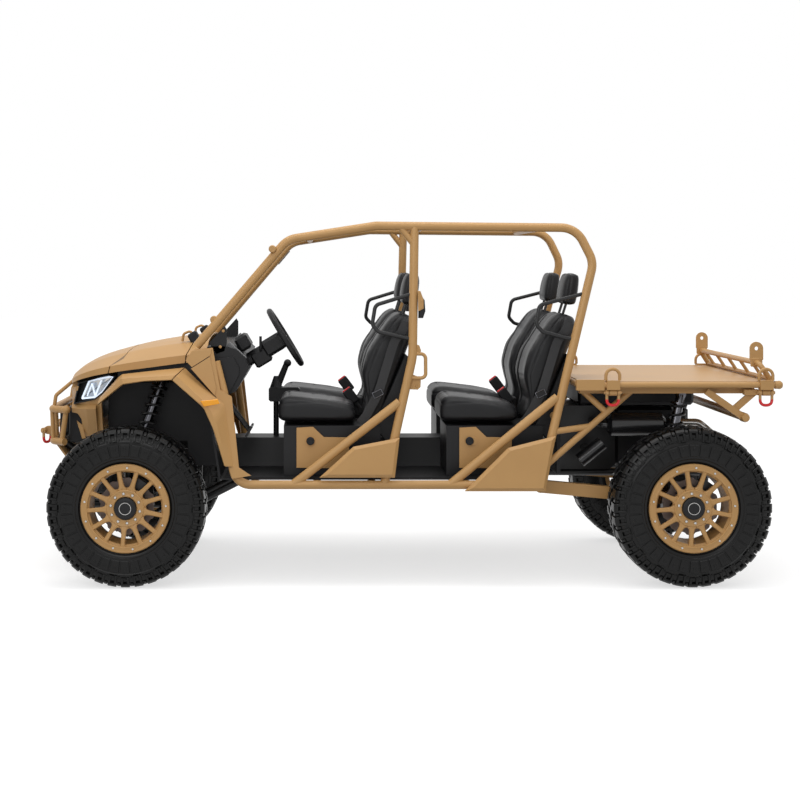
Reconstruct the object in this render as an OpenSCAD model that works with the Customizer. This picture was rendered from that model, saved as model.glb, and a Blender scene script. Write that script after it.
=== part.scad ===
// Four-seat off-road utility buggy with a flat cargo deck.
// Front of the vehicle is towards -X, its left side towards -Y, and the ground is at Z = 0.

/* [Vehicle] */
// Front axle to rear axle
wheelbase = 2845; // [2800:5:2900]
// Front axle to the foremost point
front_overhang = 505; // [495:5:520]
// Rear axle to the rearmost point
rear_overhang = 450; // [430:5:480]
// Tyre centre to tyre centre across the vehicle
track_w = 1346; // [1330:2:1380]

/* [Wheels] */
// Tyre outside diameter, out to the lug tips
tyre_d = 804; // [790:2:816]
// Tyre section width
tyre_w = 254; // [240:2:260]
// Bead seat diameter of the rim
bead_d = 392; // [384:2:400]
// Outside diameter of the bolted bead ring
ring_d = 448; // [440:2:452]
// Number of rim spokes
spoke_count = 13; // [10:1:16]
// Number of shoulder lugs on each side of a tyre
lug_count = 24; // [20:2:30]
// Height of the tread lugs
lug_h = 17; // [12:1:20]

/* [Frame] */
// Outside diameter of the sill and cage tubes
tube_d = 45; // [38:1:48]
// Height of the sill tube's centre line
sill_z = 509; // [500:1:520]
// Half width across the sill tube centres
sill_half_w = 690; // [680:1:700]
// Height of the roof rail's centre line behind the windscreen
roof_z = 1822; // [1790:2:1850]
// Half width across the roof rail centres
roof_half_w = 570; // [560:1:590]

/* [Cab] */
// Front row to rear row of seats
row_pitch = 834; // [826:1:842]
// Seat width
seat_w = 480; // [460:5:490]
// Half distance between the two seats of a row
seat_half_gap = 345; // [340:1:350]
// Steering wheel diameter
steering_wheel_d = 350; // [330:5:365]
// Steering column angle above the horizon
column_angle = 31.4; // [28:0.2:34]

/* [Cargo deck] */
// Half width across the deck's side rails
deck_half_w = 700; // [690:2:710]
// Height of the deck rail's centre line
deck_z = 1015; // [1005:1:1025]
// Height of the rear rack's top rail
rack_z = 1122; // [1110:1:1135]

/* [Hidden] */
$fn = 32;

// Finishes
tan_paint = [0.68, 0.53, 0.34];
black_paint = [0.06, 0.06, 0.06];
black_plastic = [0.10, 0.10, 0.10];
rubber = [0.05, 0.05, 0.05];
upholstery = [0.08, 0.08, 0.09];
steel = [0.60, 0.60, 0.60];
amber = [1.00, 0.65, 0.05];
lens_white = [0.90, 0.93, 1.00];
signal_red = [0.80, 0.02, 0.03];

// Clearances shared by all pieces
seat_gap = 0.3;        // between pieces that bear on each other
cut_lap = 2;           // how far a cutter runs past what it cuts
bend_swell = 0.1;      // a bend is this much fatter than its straights
weld_lap = 1;          // how far a straight runs into a bend or a joined piece
shaft_fit = 0.05;      // radial clearance of a turning shaft

// Main stations, from the driving sizes
overall_l = front_overhang + wheelbase + rear_overhang;
front_x = -overall_l / 2 + front_overhang;
rear_x = front_x + wheelbase;
rear_end_x = overall_l / 2;
axle_z = tyre_d / 2;
tube_r = tube_d / 2;
bead_r = bead_d / 2;
side_tilt = atan((sill_half_w - roof_half_w) / (roof_z - sill_z));

// Cage outline, as [behind the front axle, above the ground]
pillar_foot = [344, 1205];
screen_top = [809, 1752];
roof_front = [1261, roof_z];
roof_rear = [2289, 1812];
hoop_knee = [2376, 1636];
hoop_foot = [2089, sill_z];
b_top = [1460, roof_z];
b_knee = [1447, 1152];
b_foot = [1300, sill_z];
front_brace_foot = [838, sill_z];
front_brace_head = [1378, 924];
rear_brace_foot = [1632, sill_z];
rear_brace_head = [2181, 949];
sill_rear = [2112, sill_z];
sill_front = [546, sill_z];
dash_pillar_knee = [486, 970];
dash_pillar_top = [444, 1130];
cage_bend_r = 125;
sill_bend_r = 90;
b_bend_r = 300;
gusset_d = 34;
gusset_foot_drop = 100;
gusset_reach = 78;
handle_d = 18;
handle_bend_r = 24;
handle_reach = 66;
handle_top_z = 1168;
handle_low_z = 1046;

// Cross tubes of the cage, as shares along the roof and rear leg
header_share = 0.10;
mid_bar_x = 1470;
roof_bar_share = 0.95;
belt_bar_share = 0.70;
cross_tube_d = 38;

// Floor
cross_member_d = 40;
cross_member_places = [640, 960, 1240, 1720, 2075];
floor_t = 12;
floor_front_x = 470;
floor_rear_x = 2115;
floor_half_w = 655;
floor_rib_w = 18;
floor_rib_h = 4;
floor_rib_pitch = 36;
floor_z = sill_z + cross_member_d / 2 + seat_gap;
firewall_t = 12;
firewall_top = [385, 1010];
firewall_half_w = 625;
liner_half_w = 300;
liner_t = 8;
liner_low_z = 690;
liner_foot_z = 560;
liner_front_x = -145;
liner_step_x = 275;
tunnel_half_w = 150;
tunnel_h = 150;
tunnel_slope = 40;
tunnel_front_x = 500;
tunnel_rear_x = 2060;

// Front frame and the rails under the engine
front_rail_d = 38;
front_rail_half_w = 165;
front_rail_z = 335;
front_upper_rail_z = 575;
front_upper_half_w = 200;
front_rail_nose_x = -330;
front_rail_rise_x = 300;
stay_knee = [-250, front_upper_rail_z];
rear_rail_half_w = 165;
rear_rail_tail = 170;
tower_z = 1072;
tower_x = 150;

// Front bumper and skid plate
bumper_tube_d = 40;
bumper_upper_z = 866;
bumper_lower_z = 698;
bumper_x = -432;
bumper_corner_x = -345;
bumper_half_w = 330;
bumper_corner_half_w = 392;
bumper_bend_r = 70;
bumper_upright_places = [-300, -105, 105, 300];
guard_top_z = 955;
guard_knee_back = 45;
guard_half_w = 150;
guard_d = 26;
skid_t = 10;
skid_half_w = 300;
skid_points = [[-430, 690], [-352, 585], [-330, 380]];
tow_eye_half_w = 205;
tow_eye_t = 26;
tow_eye_r = 20;
tow_pin_rise = 40;

// Shackles and deck rings
bow_inner_r = 20;
bow_wire_r = 9;
bow_leg = 34;
shackle_pin_r = 8;
shackle_eye_r = 15;
ring_inner_r = 27;
ring_wire_r = 8;
ring_leg = 22;
ring_block_l = 66;
ring_block_w = 50;
ring_block_h = 48;
ring_lug_r = 15;
shackle_drop = ring_block_h / 2 + ring_lug_r;
tow_pin_x = front_x - front_overhang + tow_eye_r - weld_lap;
tow_pin_z = bumper_lower_z + tow_pin_rise;

// Nose panels
panel_t = 8;
hood_front = -352;
hood_edge_gap = 10;
// Hood sections: share of the hood length, crown height, shoulder height, edge height,
// shoulder half width, edge half width
hood_sections = [
    [0.00, 1012, 1004, 996, 120, 165],
    [0.02, 1030, 1019, 1004, 245, 320],
    [0.05, 1052, 1040, 1018, 320, 415],
    [0.13, 1096, 1082, 1042, 378, 500],
    [0.25, 1140, 1126, 1066, 405, 560],
    [0.42, 1180, 1164, 1084, 425, 592],
    [0.60, 1210, 1192, 1098, 440, 606],
    [0.82, 1236, 1216, 1114, 452, 612],
    [1.00, 1250, 1228, 1124, 456, 612]];
hood_lip = 12;
hood_mid_share = 0.55;
hood_mid_rise_share = 0.72;
fascia_sections = [
    // behind the front axle, lower height, upper height, lower half width, upper half width
    [-350, 888, 992, 200, 180],
    [-336, 876, 996, 290, 335],
    [-300, 842, 1004, 370, 440],
    [-240, 765, 1020, 392, 490],
    [-160, 730, 1040, 392, 535]];
fascia_wall = 26;
grille_slots = 4;
grille_bar_t = 8;
grille_half_w = 130;
grille_low_z = 897;
grille_high_z = 965;
lamp_outline = [[-306, 905], [-276, 1006], [-124, 1058], [-76, 1050], [-148, 956], [-192, 924]];
lamp_depth = 90;
lamp_reach = 60;
lamp_nose_half_w = 432;
lamp_sweep = 0.5;

// Fender sections along the arch: outer edge x, outer edge z, lip x, lip z, flare half width,
// inner half width, 0 where it meets the cowl side
fender_sections = [
    [-150, 948, -158, 912, 640, 560],
    [-42, 1062, -22, 1030, 728, 600],
    [106, 1080, 92, 1048, 752, 622],
    [284, 1098, 232, 1050, 758, 622],
    [440, 956, 392, 906, 762, 0],
    [492, 918, 440, 800, 762, 0],
    [541, 604, 497, 612, 756, 0]];
fender_lip = 26;
signal_l = 84;
signal_h = 30;
signal_t = 10;
signal_at = [378, 915];

// Cowl side panels in the plane of the cage side
cowl_t = 14;
cowl_outline = [[340, 1190], [430, 1198], [470, 985], [528, 952], [566, 596], [628, 556],
    [532, 540], [500, 640], [452, 945], [318, 1118]];

// Dash and steering column
dash_half_w = 600;
dash_foot_z = 962;
dash_lip_z = 1204;
dash_outline = [[480, 1206], [545, 1190], [590, 1150], [612, 1090], [545, 975], [470, 940]];
column_r = 34;
column_l = 205;
dash_front_x = firewall_x(firewall_top.y) + firewall_t + seat_gap;
steering_hub = [792, 1240];
steering_rim_d = 30;
steering_boss_r = 46;
steering_boss_l = 34;
steering_spoke_d = 18;
steering_spoke_dish = 16;

// Pedals under the dash and the shifter on the tunnel
pedal_bar_d = 24;
pedal_bar_half_l = 105;
pedal_places = [-60, 62];
pedal_arm_d = 16;
pedal_end = [604, 752];
pedal_pad = [12, 74, 62];
shifter_x = 735;
shifter_post_d = 30;
shifter_box = [170, 90, 78];
shifter_box_front = 40;
shifter_box_z = 876;
shifter_lever_d = 26;
shifter_end = [797, 1084];
shifter_knob_r = 21;
shifter_boot_r = 34;
shifter_boot_h = 60;

// Side boxes on the sills, in the plane of the cage side
box_t = 34;
box_chamfer = 16;
front_box_outline = [[972, 546], [1143, 700], [1377, 745], [1352, 546]];
rear_box_outline = [[1704, 478], [1925, 694], [2165, 754], [2111, 478]];

// Seats
seat_front_x = 749;
cushion_l = 400;
cushion_z = 797;
cushion_h = 157;
back_foot_x = 1073;
back_l = 600;
back_t = 215;
back_lean = 22;
headrest_w = 250;
headrest_h = 145;
headrest_t = 96;
headrest_gap = 60;
headrest_turn = 14;
headrest_depth_share = 0.59;
headrest_post_r = 7;
headrest_post_half_gap = 70;
// Cushion sections: share of the length, half width share, low share, high share
cushion_shares = [
    [0.00, 0.84, 0.22, 0.66], [0.03, 0.93, 0.08, 0.84], [0.12, 1.00, 0.00, 0.96],
    [0.40, 1.00, 0.00, 1.00], [0.75, 1.00, 0.00, 0.88], [0.97, 0.95, 0.04, 0.80],
    [1.00, 0.88, 0.15, 0.70]];
// Back sections: share of the height, half width share, front share, rear share
back_shares = [
    [0.00, 0.84, 0.41, 0.90], [0.05, 0.92, 0.39, 1.00], [0.13, 0.97, 0.35, 1.00],
    [0.25, 1.00, 0.11, 1.00], [0.42, 1.00, 0.00, 1.00], [0.65, 0.97, 0.02, 1.00],
    [0.88, 0.86, 0.19, 0.98], [0.97, 0.70, 0.35, 0.93], [1.00, 0.60, 0.48, 0.86]];
headrest_shares = [
    [0.00, 0.84, 0.20, 0.85], [0.06, 0.95, 0.05, 0.96], [0.45, 1.00, 0.00, 1.00],
    [0.90, 0.92, 0.12, 0.96], [1.00, 0.78, 0.30, 0.84]];
corner_share = 0.30;
corner_steps = 3;
seat_box_front = 40;
seat_box_rear = 535;
seat_box_inset = 5;
seat_box_outer = seat_half_gap + seat_w / 2 - seat_box_inset;
seat_box_inner_gap = 6;
plate_t = 10;
plate_outline = [[106, -10], [190, -5], [246, -58], [374, -60], [374, -218], [106, -214]];
knob_r = 21;
knob_h = 8;
knob_at = [177, -78];
bar_d = 20;
bar_bend_r = 34;
// Shoulder bar outline in the plane of the cage side: behind the front axle, above the ground
bar_high_z = 1478;
bar_low_z = 1239;
bar_points = [[1258, 1416], [1241, 1315], [1274, 1280]];
bar_row_pitch = 838;
buckle_size = [26, 44, 70];
buckle_stalk_d = 14;
buckle_stalk_l = 250;
buckle_x = 375;
buckle_clear = 10;
buckle_half_gap = seat_half_gap - seat_w / 2 - buckle_size.x / 2 - buckle_clear;

// Cargo deck
deck_rail_d = 32;
deck_front_gap = 52;
deck_t = 10;
deck_rib_h = 18;
deck_rib_w = 30;
deck_rib_count = 5;
deck_block_l = 140;
deck_block_h = 54;
deck_rear_cap = 22;
deck_bar_h = 36;
deck_bar_front = 30;
deck_bar_rear = 110;
strut_d = 34;
strut_in = 100;
strut_half_w = deck_half_w - strut_in;
long_strut_foot_z = 600;
long_strut_head_x = 2574;
short_strut_head_x = 2310;
short_strut_share = 0.70;
link_strut_foot_z = 775;
link_strut_share = 0.52;
deck_cross_places = [-330, 10];
deck_cross_z = deck_z + deck_rail_d / 2 - deck_t - deck_rib_h - seat_gap - deck_bar_h / 2;
rear_bar_at = [-167, 850];
rear_bar_d = 44;
rear_strut_reach = 190;
rack_lean = 52;
rack_tube_d = 28;
rack_in = 45;
rack_half_w = deck_half_w - rack_in;
rack_bend_r = 50;
rack_rung_count = 7;
rack_rung_d = 18;
rack_foot_back = 36;
lug_plate_w = 68;
lug_plate_h = 92;
lug_plate_t = 12;
lug_hole_r = 10;
lug_plate_back = 0;
ring_front_back = 185;
ring_rear_back = 66;

// Drive line
engine_box = [330, 420, 340];
engine_front_x = 2225;
engine_chamfer = 30;
gearbox_l = 270;
gearbox_h = 250;
front_gearbox_l = 150;
front_gearbox_h = 190;
gearbox_chamfer = 14;
shaft_d = 26;
boot_r = 38;
prop_shaft_d = 32;
prop_shaft_end_z = 600;
muffler_d = 122;
muffler_l = 265;
muffler_dome = 20;
muffler_at = [-355, 790];
muffler_tyre_gap = 55;
muffler_half_w = track_w / 2 - tyre_w / 2 - muffler_d / 2 - muffler_tyre_gap;
inlet_d = 34;
inlet_back = 200;
inlet_bend_r = 60;
canister_d = 74;
canister_l = 150;
canister_at = [2330, 600];
canister_lean = 38;
duct_d = 44;
outlet_d = 42;
outlet_back = 235;
outlet_half_w = 335;
outlet_bend_r = 55;
outlet_end = [125, 200];
outlet_drop = 62;

// Suspension
kingpin_in = 73;
ball_z = 110;
ball_r = 22;
ball_h = 30;
ball_pin_r = 10;
arm_d = 24;
arm_boss_r = 24;
arm_boss_h = 36;
arm_eye_d = 36;
arm_eye_l = 60;
lower_arm_spread = 150;
upper_arm_spread = 115;
bearing_r = 48;
bearing_in = 30;
bearing_out = 12;
spindle_r = 24;
steer_arm_l = 110;
steer_arm_d = 15;
steer_arm_t = 16;
tie_rod_d = 18;
tie_eye_r = 19;
rack_house_d = 52;
rack_house_half_l = 190;
rack_post_d = 28;
caliper_size = [70, 62, 52];
caliper_at_r = 128;
caliper_angle = 35;
disc_r = 140;
disc_t = 10;
disc_at = 20;
disc_gap = 5;
disc_hole_r = 10;
disc_holes = 10;
hub_flange_r = 85;
hub_flange_at = 45;
hub_face_at = 62;
cap_r = 55;
cap_l = 48;
front_damper_foot_in = 150;
front_damper_lean_in = 70;
front_damper_foot_half_w = track_w / 2 - kingpin_in - front_damper_foot_in;
front_damper_half_w = front_damper_foot_half_w - front_damper_lean_in;
tower_past = 20;
tower_half_w = front_damper_half_w + tower_past;
front_damper_pin_d = 20;
rear_damper_foot_back = 92;
rear_damper_lean_in = 50;
damper_body_r = 24;
damper_rod_r = 10;
damper_eye_r = 22;
damper_eye_w = 34;
damper_body_share = 0.52;
damper_cup_r = 44;
damper_cup_t = 8;
spring_r = 36;
spring_wire_r = 6;
spring_turns = 7;
spring_steps = 10;
spring_sides = 6;
spring_low_share = 0.22;
spring_high_share = 0.88;
trailing_pivot_drop = 33;
tie_rod_z = axle_z + steer_arm_t / 2 + tie_rod_d / 2 + seat_gap;
trailing_in = 183;
trailing_half_w = track_w / 2 - trailing_in;
rear_damper_half_w = trailing_half_w - rear_damper_lean_in;
trailing_h = 64;
trailing_w = 46;
trailing_end_back = 40;
trailing_end_rise = 10;
carrier_front = 110;
carrier_gap = 44;
carrier_half_h = 38;

// Rim
rim_wall = 8;
rim_flange = 14;
rim_flange_t = 8;
ring_t = 18;
ring_lip_r = 178;
spoke_root_r = 84;
spoke_root_w = 34;
spoke_tip_w = 17;
spoke_t = 24;
rim_hub_r = 94;
rim_hub_t = 30;
spoke_phase = 100;
// Tyre carcass up to the tread: share of the section height above the bead, half width share
tyre_shares = [[0.00, 0.78], [0.14, 0.79], [0.21, 0.91], [0.45, 0.985], [0.66, 0.97], [0.80, 0.90], [0.88, 0.80]];
tread_half_share = 0.70;
// Outlines of a shoulder lug and of a middle lug in the same shares, with their roots inside the carcass
shoulder_lug_shares = [[0.68, 0.90], [0.84, 0.60], [0.84, 0.36], [1.00, 0.36], [1.00, 0.76], [0.95, 0.88],
    [0.86, 0.95], [0.72, 1.00], [0.68, 0.95]];
middle_lug_shares = [[0.84, 0.03], [1.00, 0.03], [1.00, 0.28], [0.84, 0.28]];
lug_fill_share = 0.56;

// Vector helpers
function unit(v) = v / norm(v);
function turn_angle(a, b) = acos(max(-1, min(1, a * b)));
function lerp(a, b, t) = a + (b - a) * t;
// A point of the cage side plane, from a place behind the front axle and a height
function on_side(p) = [front_x + p.x, 0, (p.y - sill_z) / cos(side_tilt)];
function side_y(z) = sill_half_w - (z - sill_z) * tan(side_tilt);
// A point in the row frame, from a place behind the front axle, a half width and a height
function at_front(p, half_w) = [front_x + p.x, -half_w, p.y];
function at_rear(p, half_w) = [rear_x + p.x, -half_w, p.y];
// Places behind the front axle on the rear cage leg and on the firewall's front face, by height
function leg_x(z) = lerp(hoop_knee, hoop_foot, (hoop_knee.y - z) / (hoop_knee.y - hoop_foot.y)).x;
function firewall_x(z) = lerp(floor_front_x - firewall_t - seat_gap, firewall_top.x, (z - floor_z) / (firewall_top.y - floor_z));
// Where the outer face of the cowl side panel lies, by height
function cowl_y(z) = side_y(z) + (tube_r + cowl_t + 2 * seat_gap) / cos(side_tilt);

// Draws the left half's children and their mirror image
module both_sides() {
    children();
    mirror([0, 1, 0]) children();
}

// Puts a left-hand piece on the left (1) or the right (-1)
module handed(side) {
    if (side > 0) children();
    else mirror([0, 1, 0]) children();
}

// The leaning plane that holds the left side of the cage
module in_side_plane() {
    translate([0, -sill_half_w, sill_z]) rotate([-side_tilt, 0, 0]) children();
}

// Straight round bar between two points
module rod(p, q, r) {
    v = q - p;
    translate(p) rotate([0, acos(v.z / norm(v)), atan2(v.y, v.x)]) cylinder(h = norm(v), r = r);
}

// Quarter or part ring that turns a tube from one direction to another
module tube_bend(corner, d_in, d_out, r, bend_r) {
    angle = turn_angle(d_in, d_out);
    inward = unit(d_out - d_in * (d_in * d_out));
    centre = corner - d_in * bend_r * tan(angle / 2) + inward * bend_r;
    across = cross(-inward, d_in);
    multmatrix([[-inward.x, d_in.x, across.x, centre.x], [-inward.y, d_in.y, across.y, centre.y],
            [-inward.z, d_in.z, across.z, centre.z], [0, 0, 0, 1]])
        rotate_extrude(angle = angle) translate([bend_r, 0]) circle(r);
}

// Round tube along a path, with bends of one radius at its inner points
module bent_tube(path, r, bend_r) {
    last = len(path) - 1;
    dirs = [for (i = [0 : last - 1]) unit(path[i + 1] - path[i])];
    setbacks = [for (i = [0 : last])
        i == 0 || i == last ? 0 : bend_r * tan(turn_angle(dirs[i - 1], dirs[i]) / 2) - weld_lap];
    for (i = [0 : last - 1])
        rod(path[i] + dirs[i] * setbacks[i], path[i + 1] - dirs[i] * setbacks[i + 1], r);
    for (i = [1 : last - 1]) tube_bend(path[i], dirs[i - 1], dirs[i], r + bend_swell, bend_r);
}

// Solid skinned over rings of equal length, each counter-clockwise seen from the last ring
module loft(rings) {
    n = len(rings[0]);
    last = len(rings) - 1;
    sides = [for (i = [0 : last - 1], j = [0 : n - 1], half = [0, 1])
        let (a = i * n + j, b = i * n + (j + 1) % n)
            half == 0 ? [a, a + n, b + n] : [a, b + n, b]];
    polyhedron(points = [for (ring = rings) each ring],
        faces = concat([[for (j = [0 : n - 1]) j]], sides,
            [[for (j = [n - 1 : -1 : 0]) last * n + j]]));
}

// Rounded rectangle, counter-clockwise, from its low and high corners
function rounded(low, high, r, steps) = [
    for (c = [[1, 0, -90], [1, 1, 0], [0, 1, 90], [0, 0, 180]], k = [0 : steps])
        let (a = c[2] + 90 * k / steps,
            x = c[0] > 0 ? high.x - r : low.x + r, y = c[1] > 0 ? high.y - r : low.y + r)
            [x + r * cos(a), y + r * sin(a)]];

// Round wire swept along points, as a faceted tube
module wire(path, r, sides, up) {
    last = len(path) - 1;
    loft([for (i = [0 : last])
        let (t = unit(path[min(i + 1, last)] - path[max(i - 1, 0)]), n = unit(cross(up, t)), b = cross(t, n))
            [for (k = [0 : sides - 1]) path[i] + r * (cos(360 * k / sides) * n + sin(360 * k / sides) * b)]]);
}

// Turns a revolved piece so that its axis lies across the vehicle, outboard to the left
module across_axle() {
    rotate([90, 0, 0]) children();
}

// Puts a piece made about the left wheel's centre at an axle
module at_wheel(axle_x, side) {
    handed(side) translate([axle_x, -track_w / 2, axle_z]) children();
}

// Frame

module left_sill(grow) {
    in_side_plane()
        bent_tube([on_side(sill_rear), on_side(sill_front), on_side(dash_pillar_knee),
            on_side(dash_pillar_top)], tube_r + grow, sill_bend_r);
}

module sills() {
    color(tan_paint) both_sides() left_sill(0);
}

module cross_members() {
    reach = sill_half_w - tube_r - seat_gap;
    color(tan_paint) difference() {
        for (x = cross_member_places)
            rod([front_x + x, -reach, sill_z], [front_x + x, reach, sill_z], cross_member_d / 2);
        both_sides() left_rear_leg_line(seat_gap);
    }
}

module floor_pan() {
    l = floor_rear_x - floor_front_x;
    ribs = floor((floor_half_w - tunnel_half_w) / floor_rib_pitch) - 1;
    color(black_plastic) translate([front_x + floor_front_x, 0, floor_z]) {
        translate([0, -floor_half_w, 0]) cube([l, 2 * floor_half_w, floor_t - floor_rib_h]);
        both_sides() for (i = [0 : ribs - 1])
            translate([floor_rib_w, -floor_half_w + floor_rib_pitch * (i + 1) - floor_rib_w, floor_t - floor_rib_h - weld_lap])
                cube([l - 2 * floor_rib_w, floor_rib_w, floor_rib_h + weld_lap]);
    }
}

module firewall() {
    foot = [firewall_x(floor_z), floor_z];
    lap = [firewall_t / 2, 0];
    low = [firewall_x(liner_foot_z), liner_foot_z] + lap;
    color(black_plastic) {
        translate([front_x, firewall_half_w, 0]) rotate([90, 0, 0]) linear_extrude(2 * firewall_half_w)
            polygon([foot, foot + [firewall_t, 0], firewall_top + [firewall_t, 0], firewall_top]);
        both_sides() translate([front_x, -liner_half_w, 0]) rotate([90, 0, 0]) linear_extrude(liner_t)
            polygon([[liner_front_x, liner_low_z], [liner_step_x, liner_low_z], [liner_step_x, liner_foot_z], low,
                firewall_top + lap - [0, firewall_t], [liner_front_x, firewall_top.y - firewall_t]]);
    }
}

module tunnel() {
    z = floor_z + floor_t - floor_rib_h + seat_gap;
    color(black_plastic) translate([front_x + tunnel_front_x, 0, z]) rotate([90, 0, 90])
        linear_extrude(tunnel_rear_x - tunnel_front_x)
            polygon([[-tunnel_half_w, 0], [tunnel_half_w, 0], [tunnel_half_w - tunnel_slope, tunnel_h],
                [tunnel_slope - tunnel_half_w, tunnel_h]]);
}

// Cage

module left_cage_side(grow) {
    in_side_plane()
        bent_tube([for (p = [pillar_foot, screen_top, roof_front, roof_rear, hoop_knee, hoop_foot]) on_side(p)],
            tube_r + grow, cage_bend_r);
}

module left_sill_line(grow) {
    in_side_plane() rod(on_side(sill_front), on_side(sill_rear + [tube_d, 0]), tube_r + grow);
}

module left_roof_line(grow) {
    in_side_plane() rod(on_side(roof_front), on_side(roof_rear), tube_r + grow);
}

module left_rear_leg_line(grow) {
    in_side_plane() rod(on_side(hoop_knee), on_side(hoop_foot), tube_r + grow);
}

module cage_sides() {
    color(tan_paint) both_sides() difference() {
        left_cage_side(0);
        left_sill_line(seat_gap);
    }
}

module left_b_pillar(grow) {
    in_side_plane()
        bent_tube([for (p = [b_top, b_knee, b_foot]) on_side(p)], tube_r + grow, b_bend_r);
}

module b_pillars() {
    gusset_foot = b_top - [0, gusset_foot_drop];
    gusset_head = b_top - [gusset_reach, 0];
    handle_low_x = lerp(b_knee, b_foot, (b_knee.y - handle_low_z) / (b_knee.y - b_foot.y)).x;
    handle = [[b_knee.x, handle_top_z], [b_knee.x + handle_reach, handle_top_z],
        [b_knee.x + handle_reach, handle_low_z], [handle_low_x, handle_low_z]];
    color(tan_paint) both_sides() difference() {
        union() {
            left_b_pillar(0);
            in_side_plane() {
                rod(on_side(gusset_foot), on_side(gusset_head), gusset_d / 2);
                bent_tube([for (p = handle) on_side(p)], handle_d / 2, handle_bend_r);
            }
        }
        left_sill_line(seat_gap);
        left_roof_line(seat_gap);
    }
}

module side_braces() {
    color(tan_paint) both_sides() {
        difference() {
            in_side_plane() rod(on_side(front_brace_foot), on_side(front_brace_head), tube_r);
            left_sill_line(seat_gap);
            in_side_plane() rod(on_side(b_knee), on_side(b_foot), tube_r + seat_gap);
        }
        difference() {
            in_side_plane() rod(on_side(rear_brace_foot), on_side(rear_brace_head), tube_r);
            left_sill_line(seat_gap);
            left_rear_leg_line(seat_gap);
        }
    }
}

module cage_bar(p) {
    reach = side_y(p.y) - tube_r - seat_gap;
    rod(at_front(p, reach), at_front(p, -reach), cross_tube_d / 2);
}

module cage_cross_tubes() {
    belt = lerp(hoop_knee, hoop_foot, belt_bar_share);
    color(tan_paint) {
        cage_bar(lerp(screen_top, roof_front, header_share + cage_bend_r / (roof_front.x - screen_top.x) / 2));
        cage_bar([mid_bar_x + tube_d, roof_z]);
        cage_bar(lerp(roof_front, roof_rear, roof_bar_share - cage_bend_r / (roof_rear.x - roof_front.x)));
        difference() {
            rod(at_front(belt, side_y(belt.y)), at_front(belt, -side_y(belt.y)), cross_tube_d / 2);
            both_sides() left_rear_leg_line(seat_gap);
        }
    }
}

// Front frame, bumper and shackles

// Where a bumper stay ends on the lower bumper tube
function stay_end() =
    let (bar = [bumper_x, bumper_lower_z])
        bar - unit(bar - stay_knee) * (bumper_tube_d / 2 + seat_gap);

module front_frame() {
    r = front_rail_d / 2;
    nose = front_rail_nose_x;
    first_member = [cross_member_places[0], sill_z];
    rise = [front_rail_rise_x, front_rail_z];
    tail = first_member - unit(first_member - rise) * (cross_member_d / 2 + seat_gap);
    wall = [firewall_x(front_upper_rail_z + r) - seat_gap, front_upper_rail_z];
    color(black_paint) difference() {
        union() {
            both_sides() {
                bent_tube([at_front([nose, front_rail_z], front_rail_half_w), at_front(rise, front_rail_half_w),
                    at_front(tail, front_rail_half_w)], r, cage_bend_r);
                bent_tube([at_front(stay_end(), front_upper_half_w), at_front(stay_knee, front_upper_half_w),
                    at_front(wall, front_upper_half_w)], r, cage_bend_r);
                for (x = [nose + front_rail_d, front_rail_rise_x])
                    rod(at_front([x, front_rail_z], front_rail_half_w),
                        at_front([x, front_upper_rail_z], front_upper_half_w), r - weld_lap);
                rod(at_front([tower_x, front_upper_rail_z], front_upper_half_w),
                    at_front([tower_x, tower_z], front_upper_half_w), r - weld_lap);
                rod(at_front([tower_x, tower_z], tower_half_w), at_front([tower_x, tower_z], -weld_lap), r);
                rod(at_front([steer_arm_l, front_rail_z], front_rail_half_w), at_front([steer_arm_l, tie_rod_z], front_rail_half_w),
                    rack_post_d / 2);
            }
            rod(at_front([steer_arm_l, tie_rod_z], rack_house_half_l), at_front([steer_arm_l, tie_rod_z], -rack_house_half_l),
                rack_house_d / 2);
        }
        rod(at_front([steer_arm_l, tie_rod_z], rack_house_half_l + cut_lap),
            at_front([steer_arm_l, tie_rod_z], -rack_house_half_l - cut_lap), tie_rod_d / 2 + shaft_fit);
    }
}

module left_bow(inner_r, wire_r, leg) {
    rotate([90, 0, 0]) rotate_extrude(angle = 180) translate([inner_r + wire_r, 0]) circle(wire_r);
    for (s = [-1, 1]) translate([s * (inner_r + wire_r), 0, -leg]) cylinder(h = leg + weld_lap, r = wire_r - bend_swell);
}

// Bow shackle hanging below its pin
module shackle() {
    width = 2 * (bow_inner_r + 2 * bow_wire_r);
    rotate([180, 0, 0]) translate([0, 0, bow_leg]) left_bow(bow_inner_r, bow_wire_r, bow_leg);
    for (s = [-1, 1]) translate([s * (bow_inner_r + bow_wire_r), 0, 0])
        rotate([0, 90, 0]) cylinder(h = 2 * bow_wire_r, r = shackle_eye_r, center = true);
    rotate([0, 90, 0]) cylinder(h = width + shackle_eye_r, r = shackle_pin_r, center = true);
}

module shackles() {
    color(signal_red) {
        both_sides() for (x = ring_places()) translate([x, -deck_half_w, deck_z - shackle_drop]) shackle();
        both_sides() translate([tow_pin_x, -tow_eye_half_w, tow_pin_z]) rotate([0, 0, 90]) shackle();
    }
}

module bumper_tube(z) {
    corner = front_x + bumper_corner_x;
    face = front_x + bumper_x;
    bent_tube([[corner, -bumper_corner_half_w, z], [face, -bumper_half_w, z], [face, bumper_half_w, z],
        [corner, bumper_corner_half_w, z]], bumper_tube_d / 2, bumper_bend_r);
}

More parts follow.
